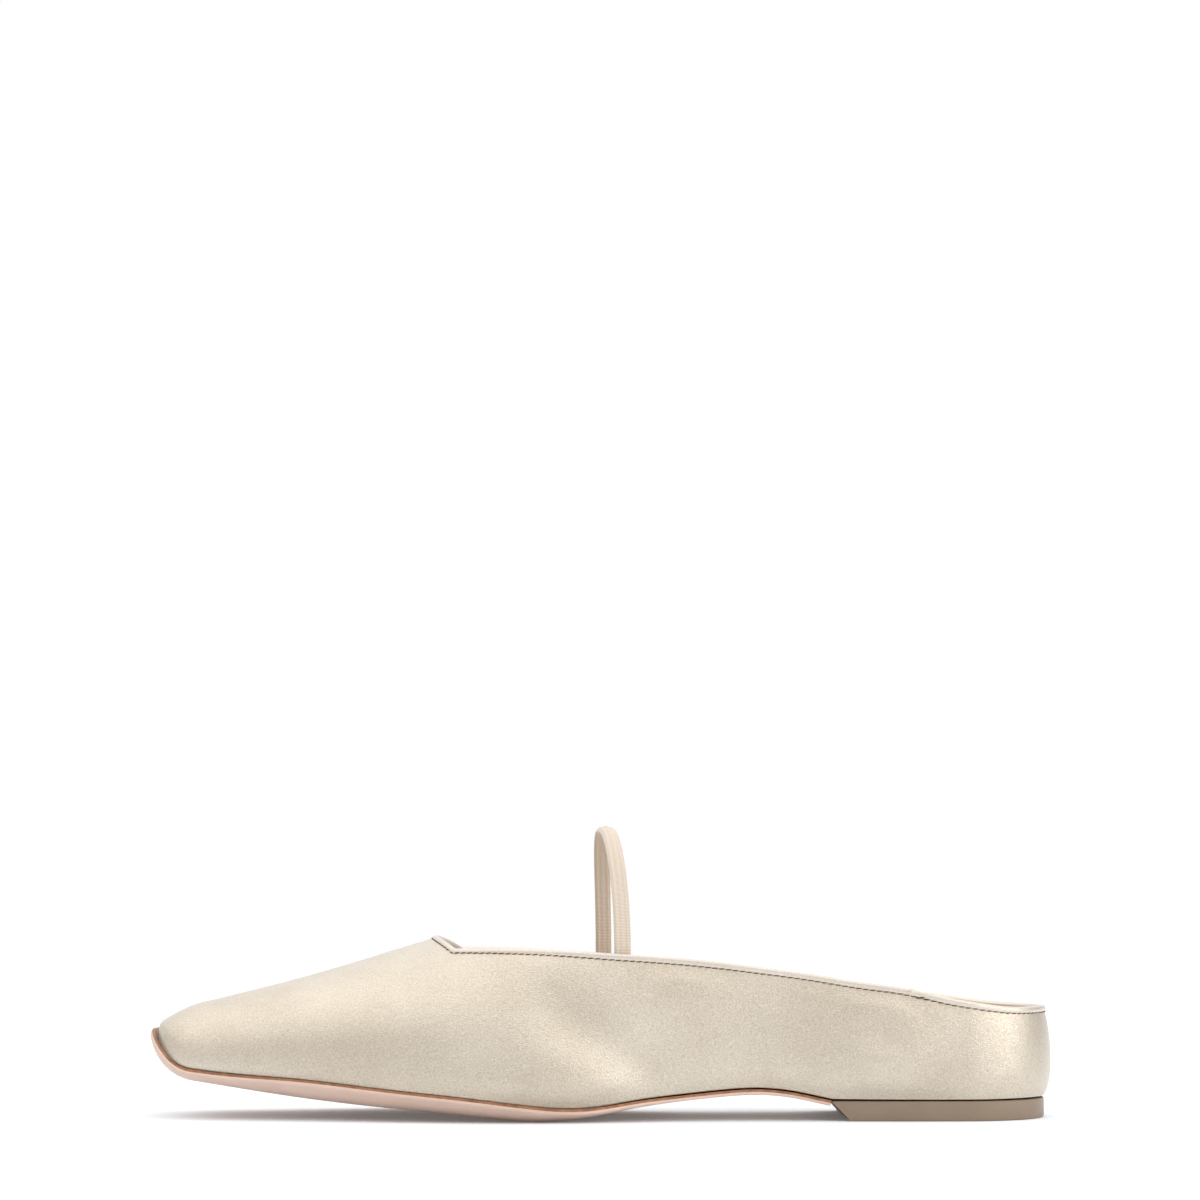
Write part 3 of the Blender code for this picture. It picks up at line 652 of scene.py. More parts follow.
@dataclass(frozen=True)
class GrainedSkin:
    """A plain finish with a fine irregular grain: lining kid, sole leather, its stained edge, or paint."""

    name: str
    light: str
    deep: str
    roughness: float
    grain: float
    bump: float
    mottle: float = 60.0
    specular: float = 0.4
    relief: float = 0.2 * MM
    limits: tuple[float, float] = (0.32, 0.68)

    def make(self) -> bpy.types.Material:
        """Builds the grained material.

        Returns:
            The material.
        """
        material, bench, shader = new_material(self.name)
        place = bench.add("ShaderNodeTexCoord").outputs["Object"]
        grain = bench.noise(place, 1 / self.grain, 4.0, 0.6)
        mottle = bench.noise(place, self.mottle, 4.0, 0.6)
        bench.colour(shader, mottle, (self.deep, self.light), self.limits)
        bench.raised(shader, grain, self.bump, self.relief)
        shader.inputs["Roughness"].default_value = self.roughness
        shader.inputs["Specular IOR Level"].default_value = self.specular
        return material


@dataclass(frozen=True)
class WovenElastic:
    """Elastic webbing: rubber cords under woven thread give lengthwise ribs crossed by fine picks."""

    name: str = "woven_elastic"
    light: str = "D8C9B9"
    deep: str = "B5A28D"
    pick: float = 0.34 * MM
    bump: float = 0.25
    relief: float = 0.15 * MM
    fuzz: float = 2600.0
    fuzz_share: float = 0.35
    limits: tuple[float, float] = (0.15, 0.6)
    roughness: float = 0.75
    sheen: float = 0.3

    def make(self) -> bpy.types.Material:
        """Builds the elastic's material; its UV map is in metres, along and across the band.

        Returns:
            The material.
        """
        material, bench, shader = new_material(self.name)
        place = bench.add("ShaderNodeUVMap", {"uv_map": "UVMap"}).outputs["UV"]
        # A wave texture takes the sine of twenty times its scaled place
        waves = math.tau / (20 * self.pick)
        picks = bench.add(
            "ShaderNodeTexWave",
            {"wave_type": "BANDS", "bands_direction": "X"},
            {"Vector": place, "Scale": waves, "Distortion": 0.6, "Detail": 1.0},
        )
        fuzz = bench.noise(place, self.fuzz, 2.0, 0.5)
        height = bench.blended(self.fuzz_share, picks.outputs["Fac"], fuzz)
        bench.colour(shader, height, (self.deep, self.light), self.limits)
        bench.raised(shader, height, self.bump, self.relief)
        shader.inputs["Roughness"].default_value = self.roughness
        shader.inputs["Sheen Weight"].default_value = self.sheen
        return material


def new_material(name: str) -> tuple[bpy.types.Material, NodeBench, bpy.types.Node]:
    """Makes an empty material.

    Args:
        name: the finish's name.

    Returns:
        The material, the bench for its nodes and its Principled shader.
    """
    material = bpy.data.materials.new(name)
    material.use_nodes = True
    return material, NodeBench(material.node_tree), material.node_tree.nodes["Principled BSDF"]


class Wardrobe:
    """Every finish of the shoe, made once."""

    # How strongly the paper glows: a painted fill light for the shadow under the shoe
    painted_fill_glow: float = 0.07

    def __init__(self) -> None:
        """Makes the materials."""
        # Champagne satin of the upper: metallic, silky, paler where the threads catch the light
        self.satin = SilkSatin().make()
        # The same satin cut as a narrow folded tape: finer and a little duller
        self.tape = SilkSatin(
            "satin_tape", "DCD3C6", "C2B7A8", 0.36, metal=0.50, thread=0.22 * MM, grain=0.45 * MM, bump=0.35
        ).make()
        # Waxed polyester thread, a darker grey brown than the satin, with a dull shine
        self.thread = GrainedSkin(
            "waxed_thread", "7A5642", "553A2B", 0.75, grain=0.2 * MM, bump=0.2, specular=0.2
        ).make()
        # Glazed kid lining: smooth cream leather with fine pores
        self.lining = GrainedSkin("glazed_kid_lining", "D8C5AE", "D1BDA4", 0.50, 0.5 * MM, 0.12).make()
        # Vegetable-tanned sole leather with a nude dressing: even, with a low wax shine
        self.sole = GrainedSkin("dressed_sole_leather", "DABFAF", "CFB3A2", 0.48, 0.45 * MM, 0.10).make()
        # The sole's cut edge, stained brown: darker where the stain pools
        self.edge = GrainedSkin(
            "stained_leather_edge", "A87350", "7A4E34", 0.50, grain=0.25 * MM, bump=0.35, mottle=400.0
        ).make()
        # Painted heel block: flat taupe lacquer over leather board
        self.heel = GrainedSkin("lacquered_heel", "8E7B68", "857260", 0.42, 0.6 * MM, 0.06).make()
        # Ribbed elastic webbing: matt, with cross picks that show close up
        self.elastic = WovenElastic().make()
        # Studio paper: white and matt, with a painted cool tint that keeps the shadow under the shoe a
        # neutral grey
        self.paper = GrainedSkin("studio_paper", "E9EDF2", "E7EBF0", 0.9, 2.0 * MM, 0.0).make()
        # The paper glows faintly: a painted fill light that keeps the shadow under the shoe soft and light
        shader = self.paper.node_tree.nodes["Principled BSDF"]
        shader.inputs["Emission Color"].default_value = (1.0, 1.0, 1.0, 1.0)
        shader.inputs["Emission Strength"].default_value = self.painted_fill_glow


def deselect_all() -> None:
    """Leaves object mode with nothing selected."""
    if bpy.context.object and bpy.context.object.mode != "OBJECT":
        bpy.ops.object.mode_set(mode="OBJECT")
    bpy.ops.object.select_all(action="DESELECT")


def take(piece: bpy.types.Object) -> None:
    """Selects one piece alone and makes it active.

    Args:
        piece: the piece that is changed.
    """
    deselect_all()
    piece.select_set(True)
    bpy.context.view_layer.objects.active = piece


def laid_grid(name: str, columns: int, rows: int, place: Place) -> bpy.types.Object:
    """Adds a grid primitive and lays each of its vertices on the form.

    Args:
        name: the piece's name.
        columns: faces along the grid's first side.
        rows: faces along its second side.
        place: where the vertex of a column and a row goes.

    Returns:
        The new object, with its UV map from 0 to 1.
    """
    deselect_all()
    bpy.ops.mesh.primitive_grid_add(x_subdivisions=columns, y_subdivisions=rows, size=2.0)
    piece = bpy.context.object
    piece.name = piece.data.name = name
    for vertex in piece.data.vertices:
        column = round((vertex.co.x + 1) / 2 * columns)
        row = round((vertex.co.y + 1) / 2 * rows)
        vertex.co = place(column, row)
    return piece


def joined(name: str, pieces: list[bpy.types.Object]) -> bpy.types.Object:
    """Joins pieces into the first one and gives it a name.

    Args:
        name: the name of the joined piece.
        pieces: the pieces, of which the first takes in the others.

    Returns:
        The joined piece.
    """
    deselect_all()
    for piece in pieces:
        piece.select_set(True)
    bpy.context.view_layer.objects.active = pieces[0]
    bpy.ops.object.join()
    pieces[0].name = pieces[0].data.name = name
    return pieces[0]


def welded(piece: bpy.types.Object) -> None:
    """Merges a piece's doubled vertices and turns its faces outwards.

    Args:
        piece: the piece that is changed.
    """
    take(piece)
    bpy.ops.object.mode_set(mode="EDIT")
    bpy.ops.mesh.select_all(action="SELECT")
    bpy.ops.mesh.remove_doubles(threshold=WELD_REACH)
    bpy.ops.mesh.normals_make_consistent(inside=False)
    bpy.ops.object.mode_set(mode="OBJECT")


def capped(piece: bpy.types.Object) -> None:
    """Closes a piece's open rims with a face in each.

    Args:
        piece: the piece that is changed.
    """
    take(piece)
    bpy.ops.object.mode_set(mode="EDIT")
    bpy.ops.mesh.select_mode(type="EDGE")
    bpy.ops.mesh.select_all(action="DESELECT")
    bpy.ops.mesh.select_non_manifold(
        extend=False, use_wire=False, use_multi_face=False, use_non_contiguous=False
    )
    bpy.ops.mesh.edge_face_add()
    bpy.ops.mesh.select_all(action="SELECT")
    bpy.ops.mesh.normals_make_consistent(inside=False)
    bpy.ops.object.mode_set(mode="OBJECT")


def with_modifier(piece: bpy.types.Object, kind: str, **settings: object) -> None:
    """Adds a modifier with its settings and applies it.

    Args:
        piece: the piece that is changed.
        kind: the modifier's type.
        settings: the modifier's properties by name.
    """
    take(piece)
    modifier = piece.modifiers.new(kind.lower(), kind)
    for name, value in settings.items():
        setattr(modifier, name, value)
    bpy.ops.object.modifier_apply(modifier=modifier.name)


def smoothed(piece: bpy.types.Object, angle: float = 40.0) -> None:
    """Shades a piece smooth except over edges sharper than an angle in degrees."""
    take(piece)
    bpy.ops.object.shade_smooth_by_angle(angle=math.radians(angle))


def dressed(
    piece: bpy.types.Object, materials: Sequence[bpy.types.Material], slot: str, *nodes: str
) -> None:
    """Gives a piece its finishes and hides the CAD nodes that it stands for.

    Args:
        piece: the finished piece.
        materials: its materials, in the order of its faces' indices.
        slot: not used.
        nodes: the CAD nodes that it replaces.
    """
    slots = piece.data.materials
    for i, material in enumerate(materials):
        if i < len(slots):
            slots[i] = material
        else:
            slots.append(material)
    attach(piece, "root")
    if nodes:
        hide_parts(*nodes)
    LOG.info("%s: %d faces", piece.name, len(piece.data.polygons))


@dataclass(frozen=True)
class Frame:
    """A place on a swept band's path, with the directions of its width and its thickness."""

    centre: Vector
    wide: Vector
    thick: Vector


Section = Callable[[float, float], tuple[float, float]]


def swept(
    name: str, frames: Sequence[Frame], closed: bool, sides: int, section: Section
) -> bpy.types.Object:
    """A band carried along frames.

    Args:
        name: the piece's name.
        frames: the path's places.
        closed: whether the path is a ring.
        sides: how many faces go round the section.
        section: the section's width and thickness at a turn from 0 to 1 and a share of the path.

    Returns:
        The closed band, with a UV map in metres along and round it.
    """
    span = len(frames) if closed else len(frames) - 1

    def place(i: int, j: int) -> Vector:
        frame = frames[i % len(frames)]
        wide, thick = section((j % sides) / sides, i / span)
        return frame.centre + frame.wide * wide + frame.thick * thick

    piece = laid_grid(name, span, sides, place)
    run = sum((frames[(i + 1) % len(frames)].centre - frames[i].centre).length for i in range(span))
    wide = [section(j / sides, 0.5) for j in range(sides)]
    girth = sum(math.dist(wide[j], wide[j - 1]) for j in range(sides))
    for loop in piece.data.uv_layers[0].data:
        loop.uv = (loop.uv[0] * run, loop.uv[1] * girth)
    piece.data.uv_layers[0].name = "UVMap"
    welded(piece)
    if not closed:
        capped(piece)
    return piece


@dataclass(frozen=True)
class SoftDent:
    """A soft trough, or a swelling where its depth is negative, pressed into the satin by hand."""

    from_heel: float
    height: float
    reach: float
    rise: float
    depth: float
    turn: float = 0.0
    side: Side = Side.LATERAL

    def at(self, length: float, across: float, height: float) -> float:
        """How deep the dent is at a place of the wall.

        Args:
            length: length from the heel.
            across: Y, whose sign tells the side.
            height: height over the floor.

        Returns:
            The depth, 0 on the other side of the shoe.
        """
        if across * self.side.value < 0:
            return 0.0
        cos, sin = math.cos(self.turn), math.sin(self.turn)
        run, up = length - self.from_heel, height - self.height
        wide = (run * cos + up * sin) / self.reach
        tall = (up * cos - run * sin) / self.rise
        return self.depth * math.exp(-(wide * wide + tall * tall))


@dataclass
class SatinUpper:
    """The one-piece upper: satin outside, kid inside, with the soft troughs that lasting leaves."""

    last: Last
    heel_columns: int = 30
    quarter_columns: int = 80
    vamp_columns: int = 42
    toe_columns: int = 18
    across_columns: int = 48
    lower_rows: int = 8
    upper_rows: int = 20
    lower_crowding: float = 1.5
    fade: float = 5.0 * MM
    dents: tuple[SoftDent, ...] = (
        SoftDent(143 * MM, 8 * MM, 20 * MM, 12 * MM, -2.6 * MM, 0.2),
        SoftDent(133 * MM, 25 * MM, 21 * MM, 7.5 * MM, 1.3 * MM, 0.58),
        SoftDent(117 * MM, 12 * MM, 7 * MM, 10 * MM, 0.6 * MM, 0.3),
        SoftDent(106 * MM, 38 * MM, 11 * MM, 9 * MM, -0.8 * MM),
        SoftDent(166 * MM, 28 * MM, 15 * MM, 9 * MM, -0.15 * MM, 0.4),
        SoftDent(39.5 * MM, 29.5 * MM, 3.5 * MM, 2.2 * MM, 0.25 * MM, 0.6),
        SoftDent(51 * MM, 19 * MM, 13 * MM, 16 * MM, -1.8 * MM),
        SoftDent(120 * MM, 26 * MM, 20 * MM, 12 * MM, 0.9 * MM, 0.0, Side.MEDIAL),
        SoftDent(140 * MM, 16 * MM, 14 * MM, 11 * MM, -1.2 * MM, 0.0, Side.MEDIAL),
    )

    def heel_turn(self, side: Side) -> list[Column]:
        """Columns round the back of the heel, from its middle to where the side begins.

        Args:
            side: the side of the shoe.

        Returns:
            The columns, from the back round to the side.
        """
        columns = []
        for i in range(self.heel_columns):
            turn = math.pi / 2 * (1 - i / self.heel_columns)
            back = math.sin(turn) ** (2 / self.last.heel_squareness)
            out = math.cos(turn) ** (2 / self.last.heel_squareness) if i else 0.0
            columns.append(Column(Zone.HEEL, back, side.value * out))
        return columns

    def quarter(self, side: Side) -> list[Column]:
        """Columns along one quarter, from the heel's turn to the throat's corner.

        Args:
            side: the side of the shoe.

        Returns:
            The columns, from the heel to the throat.
        """
        last = self.last
        lengths = np.linspace(last.heel_rounding, last.corner_from_heel, self.quarter_columns + 1)
        return [Column(Zone.SIDE, float(length), side.value) for length in lengths]

    def vamp(self, side: Side) -> list[Column]:
        """Columns along one side of the vamp, from the throat's corner up to the toe's corner.

        Args:
            side: the side of the shoe.

        Returns:
            The columns, from the throat to the toe.
        """
        lengths = np.linspace(self.last.corner_from_heel, self.last.toe_start, self.vamp_columns + 1)[1:]
        columns = [Column(Zone.SIDE, float(length), side.value) for length in lengths]
        for i in range(1, self.toe_columns + 1):
            along, across = squared(i / self.toe_columns, side.value, self.last.toe_squareness)
            columns.append(Column(Zone.TOE, along, across))
        return columns

    def front(self) -> list[Column]:
        """Columns across the front of the toe, between its two corners."""
        shares = [2 * i / self.across_columns - 1 for i in range(1, self.across_columns)]
        return [Column(Zone.TOE, *squared(1.0, share, self.last.toe_squareness)) for share in shares]

    def columns(self) -> list[Column]:
        """Every column of the wall, once round from the back of the heel by the lateral side.

        Returns:
            The columns in order.
        """
        lateral = self.heel_turn(Side.LATERAL) + self.quarter(Side.LATERAL) + self.vamp(Side.LATERAL)
        medial = self.heel_turn(Side.MEDIAL)[1:] + self.quarter(Side.MEDIAL) + self.vamp(Side.MEDIAL)
        return lateral + self.front() + medial[::-1]

    def belt_point(self, column: Column, row: int) -> Vector:
        """The point of a column at a row of the wall, from the feather line up.

        Args:
            column: the wall's column.
            row: 0 at the feather line, more towards the collar.

        Returns:
            The point in the shoe's frame.
        """
        if row <= self.lower_rows:
            climb = (row / self.lower_rows) ** self.lower_crowding
            return self.last.lower_wall_point(column, climb)
        lift = self.last.column_lift(column) * (row - self.lower_rows) / self.upper_rows
        return self.last.wall_point(column, self.last.inward_at(lift))

    def crown_point(self, row: int, step: int) -> Vector:
        """A point of the vamp's crown.

        Args:
            row: 0 at the throat, more towards the toe.
            step: 0 at the lateral shoulder, more towards the medial one.

        Returns:
            The point in the shoe's frame.
        """
        last = self.last
        across = 2 * step / self.across_columns - 1
        if row <= self.vamp_columns:
            rear = last.throat_length(across)
            length = rear + (last.toe_start - rear) * row / self.vamp_columns
            column = Column(Zone.SIDE, length, math.copysign(1.0, across))
            return last.wall_point(column, abs(across) * last.shoulder_spread)
        along = (row - self.vamp_columns) / self.toe_columns
        reach = max(along, abs(across))
        column = Column(Zone.TOE, *squared(along / reach, across / reach, last.toe_squareness))
        return last.wall_point(column, reach * last.shoulder_spread)

    def edges(self, side: Side) -> tuple[np.ndarray, np.ndarray, np.ndarray]:
        """Lengths from the heel with the heights of the feather line and of the collar on a side.

        Args:
            side: the side of the shoe.

        Returns:
            The lengths, the feather line's heights and the collar's heights.
        """
        last = self.last
        columns = self.quarter(side) + self.vamp(side)[: self.vamp_columns]
        lengths = np.array([column.along for column in columns])
        feet = np.array([last.lower_wall_point(column, 0.0).z for column in columns])
        tops = [last.wall_point(column, last.inward_at(last.column_lift(column))).z for column in columns]
        tops = [top if length < last.corner_from_heel else 1.0 for top, length in zip(tops, lengths)]
        return lengths, feet, np.array(tops)

    def press(self, piece: bpy.types.Object) -> None:
        """Presses the soft dents into the outer face, fading them out at its stitched edges.

        Args:
            piece: the piece that is changed.
        """
        edges = {side: self.edges(side) for side in Side}
        for vertex in piece.data.vertices:
            length = self.last.length / 2 - vertex.co.x
            lengths, feet, tops = edges[Side.LATERAL if vertex.co.y < 0 else Side.MEDIAL]
            foot = float(np.interp(length, lengths, feet))
            top = float(np.interp(length, lengths, tops))
            fade = ease((vertex.co.z - foot) / self.fade) * ease((top - vertex.co.z) / self.fade)
            depth = sum(dent.at(length, vertex.co.y, vertex.co.z) for dent in self.dents)
            vertex.co -= vertex.normal * depth * fade

    def build(self, finishes: Wardrobe) -> bpy.types.Object:
        """Models the shell and dresses it.

        Args:
            finishes: the shoe's finishes.

        Returns:
            The upper.
        """
        columns = self.columns()
        around = len(columns)
        rows = self.lower_rows + self.upper_rows
        belt = laid_grid("belt", around, rows, lambda i, j: self.belt_point(columns[i % around], j))
        crown_rows = self.vamp_columns + self.toe_columns
        crown = laid_grid("crown", crown_rows, self.across_columns, self.crown_point)
        upper = joined("satin_upper", [belt, crown])
        welded(upper)
        self.press(upper)
        upper.data.materials.append(finishes.satin)
        upper.data.materials.append(finishes.lining)
        with_modifier(
            upper,
            "SOLIDIFY",
            thickness=self.last.wall,
            offset=-1.0,
            use_even_offset=True,
            material_offset=1,
            material_offset_rim=1,
        )
        dressed(upper, [finishes.satin, finishes.lining], "upper_satin", "upper")
        smoothed(upper)
        return upper


@dataclass
class CollarBinding:
    """A satin tape folded over the collar's edge, joined near the heel and stitched along its foot."""

    upper: SatinUpper
    height: float = 1.8 * MM
    bulge: float = 0.5 * MM
    gap: float = 0.3 * MM
    skirt: float = 0.25 * MM
    below_share: float = 0.9
    pinch: float = 0.16
    squareness: float = 2.4
    sides: int = 20
    pitch: float = 1.95 * MM
    stitch_length: float = 2.1 * MM
    stitch_radius: float = 0.19 * MM
    stitch_proud: float = 0.06 * MM
    stitch_drop: float = 0.6
    stitch_segments: int = 8
    stitch_rings: int = 6
    slant: float = -0.17
    back_tacks: tuple[float, ...] = (-3.4 * MM, -2.3 * MM, -1.2 * MM)
    tack_lifts: tuple[float, float] = (-0.156 * MM, 0.26 * MM)
    joint_from_heel: float = 42.5 * MM
    lap_length: float = 1.7 * MM
    lap_steps: int = 12
    lap_proud: float = 0.28

    def edge(self) -> list[tuple[Vector, Vector]]:
        """Points of the collar's edge with the way up out of the wall at each, once round.

        Returns:
            Each point with its way up.
        """
        upper, last = self.upper, self.upper.last

        def end(column: Column) -> tuple[Vector, Vector]:
            lift = last.column_lift(column)
            point = last.wall_point(column, last.inward_at(lift))
            below = last.wall_point(column, last.inward_at(lift * self.below_share))
            return point, point - below

        lateral = upper.heel_turn(Side.LATERAL) + upper.quarter(Side.LATERAL)
        medial = upper.heel_turn(Side.MEDIAL)[1:] + upper.quarter(Side.MEDIAL)
        places = [end(column) for column in lateral]
        for step in range(1, upper.across_columns):
            point = upper.crown_point(0, step)
            places.append((point, point - upper.crown_point(1, step)))
        return places + [end(column) for column in medial[::-1]]

    def frames(self) -> list[Frame]:
        """Frames along the middle of the binding; width points up, thickness points inwards.

        Returns:
            The frames in order.
        """
        edge = self.edge()
        count = len(edge)
        frames = []
        for i, (point, way_up) in enumerate(edge):
            run = (edge[(i + 1) % count][0] - edge[i - 1][0]).normalized()
            up = (way_up - run * way_up.dot(run)).normalized()
            inwards = run.cross(up)
            centre = point + up * (self.gap + self.height / 2) + inwards * self.upper.last.wall / 2
            frames.append(Frame(centre, up, inwards))
        return frames

    def section(self, turn: float, share: float) -> tuple[float, float]:
        """The folded tape's section: round over the top, drawn in at its stitched foot.

        Args:
            turn: how far round the section, from 0 to 1.
            share: how far along the path, from 0 to 1.

        Returns:
            How far up and how far in.
        """
        angle = 2 * math.pi * turn
        up = self.height / 2 * filled_out(math.cos(angle), self.squareness)
        if up < 0:
            up *= 1 + 2 * (self.gap + self.skirt) / self.height
        half = self.upper.last.wall / 2 + self.bulge
        pinch = 1 - self.pinch * max(0.0, -math.cos(angle)) ** 2
        return up, half * pinch * filled_out(math.sin(angle), self.squareness)

    def stitch(self) -> bpy.types.Object:
        """One stitch along X, modelled once.

        Returns:
            The stitch, about the origin.
        """
        deselect_all()
        bpy.ops.mesh.primitive_uv_sphere_add(
            segments=self.stitch_segments, ring_count=self.stitch_rings, radius=1.0
        )
        stitch = bpy.context.object
        for vertex in stitch.data.vertices:
            x, y, z = vertex.co
            vertex.co = (z * self.stitch_length / 2, x * self.stitch_radius, y * self.stitch_radius)
        return stitch

    def stitch_place(self, frame: Frame, after: Frame, share: float, lift: float) -> Matrix:
        """Where a stitch lies.

        Args:
            frame: the binding's frame behind the stitch.
            after: the frame ahead of it.
            share: how far it is from the one to the other.
            lift: how far up the tape it is moved, or down the satin where it is negative.

        Returns:
            The matrix that carries the modelled stitch there.
        """
        down = self.height / 2 + self.gap * self.stitch_drop - lift
        out = self.upper.last.wall / 2 + self.stitch_proud + abs(lift) / 2
        centre = frame.centre.lerp(after.centre, share) - frame.wide * down - frame.thick * out
        run = (after.centre - frame.centre).normalized()
        turn = Matrix((run, frame.wide, run.cross(frame.wide))).transposed().to_4x4()
        return Matrix.Translation(centre) @ turn @ Matrix.Rotation(self.slant, 4, "Z")

    def build(self, finishes: Wardrobe) -> None:
        """Models the tape and its stitches.

        Args:
            finishes: the shoe's finishes.
        """
        frames = self.frames()
        binding = swept("folded_binding", frames, True, self.sides, self.section)
        smoothed(binding)
        dressed(binding, [finishes.tape], "binding_satin", "collar_binding")
        self.lap(frames, finishes)
        self.sew(frames, finishes)

    def lap(self, frames: Sequence[Frame], finishes: Wardrobe) -> None:
        """The folded end of the tape that laps over its start, a little proud of it.

        Args:
            frames: the binding's frames, once round.
            finishes: the shoe's finishes.
        """
        at = self.upper.last.length / 2 - self.joint_from_heel
        lateral = frames[: len(frames) // 2]
        i = next(i for i, frame in enumerate(lateral) if frame.centre.x < at)
        run = (lateral[i].centre - lateral[i - 1].centre).normalized()
        count = self.lap_steps
        places = []
        for step in range(count + 1):
            along = self.lap_length * (step / count - 0.5)
            share = (lateral[i - 1].centre.x - at) / (lateral[i - 1].centre.x - lateral[i].centre.x)
            centre = lateral[i - 1].centre.lerp(lateral[i].centre, share) + run * along
            places.append(Frame(centre, lateral[i].wide, lateral[i].thick))

        def section(turn: float, share: float) -> tuple[float, float]:
            up, out = self.section(turn, share)
            above_foot = 0.5 + 0.5 * math.cos(2 * math.pi * turn)
            proud = 1 + self.lap_proud * above_foot * math.sin(math.pi * share) ** 0.5
            return up * proud, out * proud

        lap = swept("binding_lap", places, False, self.sides, section)
        smoothed(lap)
        dressed(lap, [finishes.tape], "binding_satin")

    def sew(self, frames: Sequence[Frame], finishes: Wardrobe) -> None:
        """Lays a stitch at each pitch along the foot of the tape, outside, and more at its joint.

        Args:
            frames: the binding's frames, once round.
            finishes: the shoe's finishes.
        """
        pattern = self.stitch()
        rows = []
        travelled = 0.0
        joint = None
        for i, frame in enumerate(frames):
            after = frames[(i + 1) % len(frames)]
            step = (after.centre - frame.centre).length
            if joint is None and after.centre.x < self.upper.last.length / 2 - self.joint_from_heel:
                joint = i
            while travelled < step:
                rows.append(self.stitch_place(frame, after, travelled / step, 0.0))
                travelled += self.pitch
            travelled -= step
        start, after = frames[joint], frames[joint + 1]
        step = (after.centre - start.centre).length
        for number, along in enumerate(self.back_tacks):
            lift = self.tack_lifts[number % 2]
            rows.append(self.stitch_place(start, after, along / step, lift))
        stitches = []
        for matrix in rows:
            copy = bpy.data.objects.new("stitch", pattern.data.copy())
            copy.data.transform(matrix)
            bpy.context.collection.objects.link(copy)
            stitches.append(copy)
        bpy.data.objects.remove(pattern)
        seam = joined("collar_stitches", stitches)
        smoothed(seam, 80)
        dressed(seam, [finishes.thread], "binding_satin")


@dataclass(frozen=True)
class Level:
    """A ring of a sheet's rim: how far in from its outline, and how far below its top face."""

    inset: float
    depth: float


@dataclass(frozen=True)
class Band:
    """A band of a sheet's rim between levels, with its material's index."""

    levels: tuple[Level, ...]
    material: int


Place3 = Callable[[tuple[Zone, float], float, Level], Vector]


@dataclass
class Bed:
    """Rows and places of a sheet that follows the sole, shared by the outsole and the insole."""

    last: Last
    across_columns: int = 40
    end_rows: int = 24
    side_rows: int = 110
    seat_rows: int = 20
    breast_step: float = 0.3 * MM

    def shares(self, count: int, both_ways: bool) -> list[float]:
        """Shares up to 1 that draw closer together towards the rim.

        Args:
            count: how many steps there are.
            both_ways: whether they run from -1 to 1 and not from 0.

        Returns:
            The shares in order.
        """
        turns = range(-count // 2, count // 2 + 1) if both_ways else range(count + 1)
        span = count / 2 if both_ways else count
        return [math.sin(math.pi / 2 * i / span) for i in turns]

    def rows(self, with_heel_end: bool) -> list[tuple[Zone, float]]:
        """Rows along the bed, from the heel's breast or its back to the toe.

        Args:
            with_heel_end: whether the rows reach round the back of the heel.

        Returns:
            Each row's zone and how far along it is.
        """
        last = self.last
        ends = self.shares(self.end_rows, False)
        rows: list[tuple[Zone, float]] = []
        if with_heel_end:
            rows += [(Zone.HEEL, share) for share in ends[:0:-1]]
            seat = np.linspace(last.heel_rounding, last.breast_top, self.seat_rows + 1)
            rows += [(Zone.SIDE, float(length)) for length in seat]
        sides = np.linspace(last.breast_top + self.breast_step, last.toe_start, self.side_rows + 1)
        rows += [(Zone.SIDE, float(length)) for length in sides]
        return rows + [(Zone.TOE, share) for share in ends[1:]]

    def plan(
        self, row: tuple[Zone, float], across: float, inset: float, heel_end: float, toe_end: float
    ) -> tuple[float, float]:
        """A place of the bed in plan.

        Args:
            row: the bed's row.
            across: -1 at the lateral edge, 1 at the medial edge.
            inset: how far the sides are drawn in from the feather line.
            heel_end: length from the heel of the bed's back end.
            toe_end: length from the heel of its front end.

        Returns:
            The place's length from the heel and its Y.
        """
        last = self.last
        zone, along = row
        spread, length = across, along
        if zone is Zone.HEEL:
            along, spread = squared(along, across, last.heel_squareness)
            length = last.heel_rounding - along * (last.heel_rounding - heel_end)
        if zone is Zone.TOE:
            along, spread = squared(along, across, last.toe_squareness)
            length = last.toe_start + along * (toe_end - last.toe_start)
        lateral, medial = last.feather_halves(length)
        half = (lateral + medial) / 2 - inset
        return length, (medial - lateral) / 2 + half * spread

    def slab(self, name: str, with_heel_end: bool, place: Place3, bands: Sequence[Band]) -> bpy.types.Object:
        """A closed sheet: a face above, a face below and bands round the rim between them.

        Args:
            name: the piece's name.
            with_heel_end: whether the sheet reaches round the back of the heel.
            place: where a row and a share across go, at a level of the rim.
            bands: the rim's bands from the top down, each with its levels and its material.

        Returns:
            The sheet, with material 0 above and 1 below.
        """
        rows = self.rows(with_heel_end)
        shares = self.shares(self.across_columns, True)
        across = len(shares) - 1
        long = len(rows) - 1
        rim = [(i, 0) for i in range(long)] + [(long, j) for j in range(across)]
        rim += [(i, across) for i in range(long, 0, -1)] + [(0, j) for j in range(across, 0, -1)]
        levels = (bands[0].levels[0], bands[-1].levels[-1])
        sheets = [
            laid_grid(f"{name}_{n}", long, across, lambda i, j: place(rows[i], shares[j], level))
            for n, level in enumerate(levels)
        ]
        marks = [(len(sheet.data.polygons), n) for n, sheet in enumerate(sheets)]
        for band in bands:

            def ring(i: int, j: int) -> Vector:
                row, share = rim[i % len(rim)]
                return place(rows[row], shares[share], band.levels[j])

            sheets.append(laid_grid(f"{name}_rim", len(rim), len(band.levels) - 1, ring))
            marks.append((len(sheets[-1].data.polygons), band.material))
        slab = joined(name, sheets)
        numbers = [number for count, number in marks for _ in range(count)]
        for _ in range(max(numbers) + 1):
            slab.data.materials.append(None)
        for polygon, number in zip(slab.data.polygons, numbers):
            polygon.material_index = number
        welded(slab)
        return slab


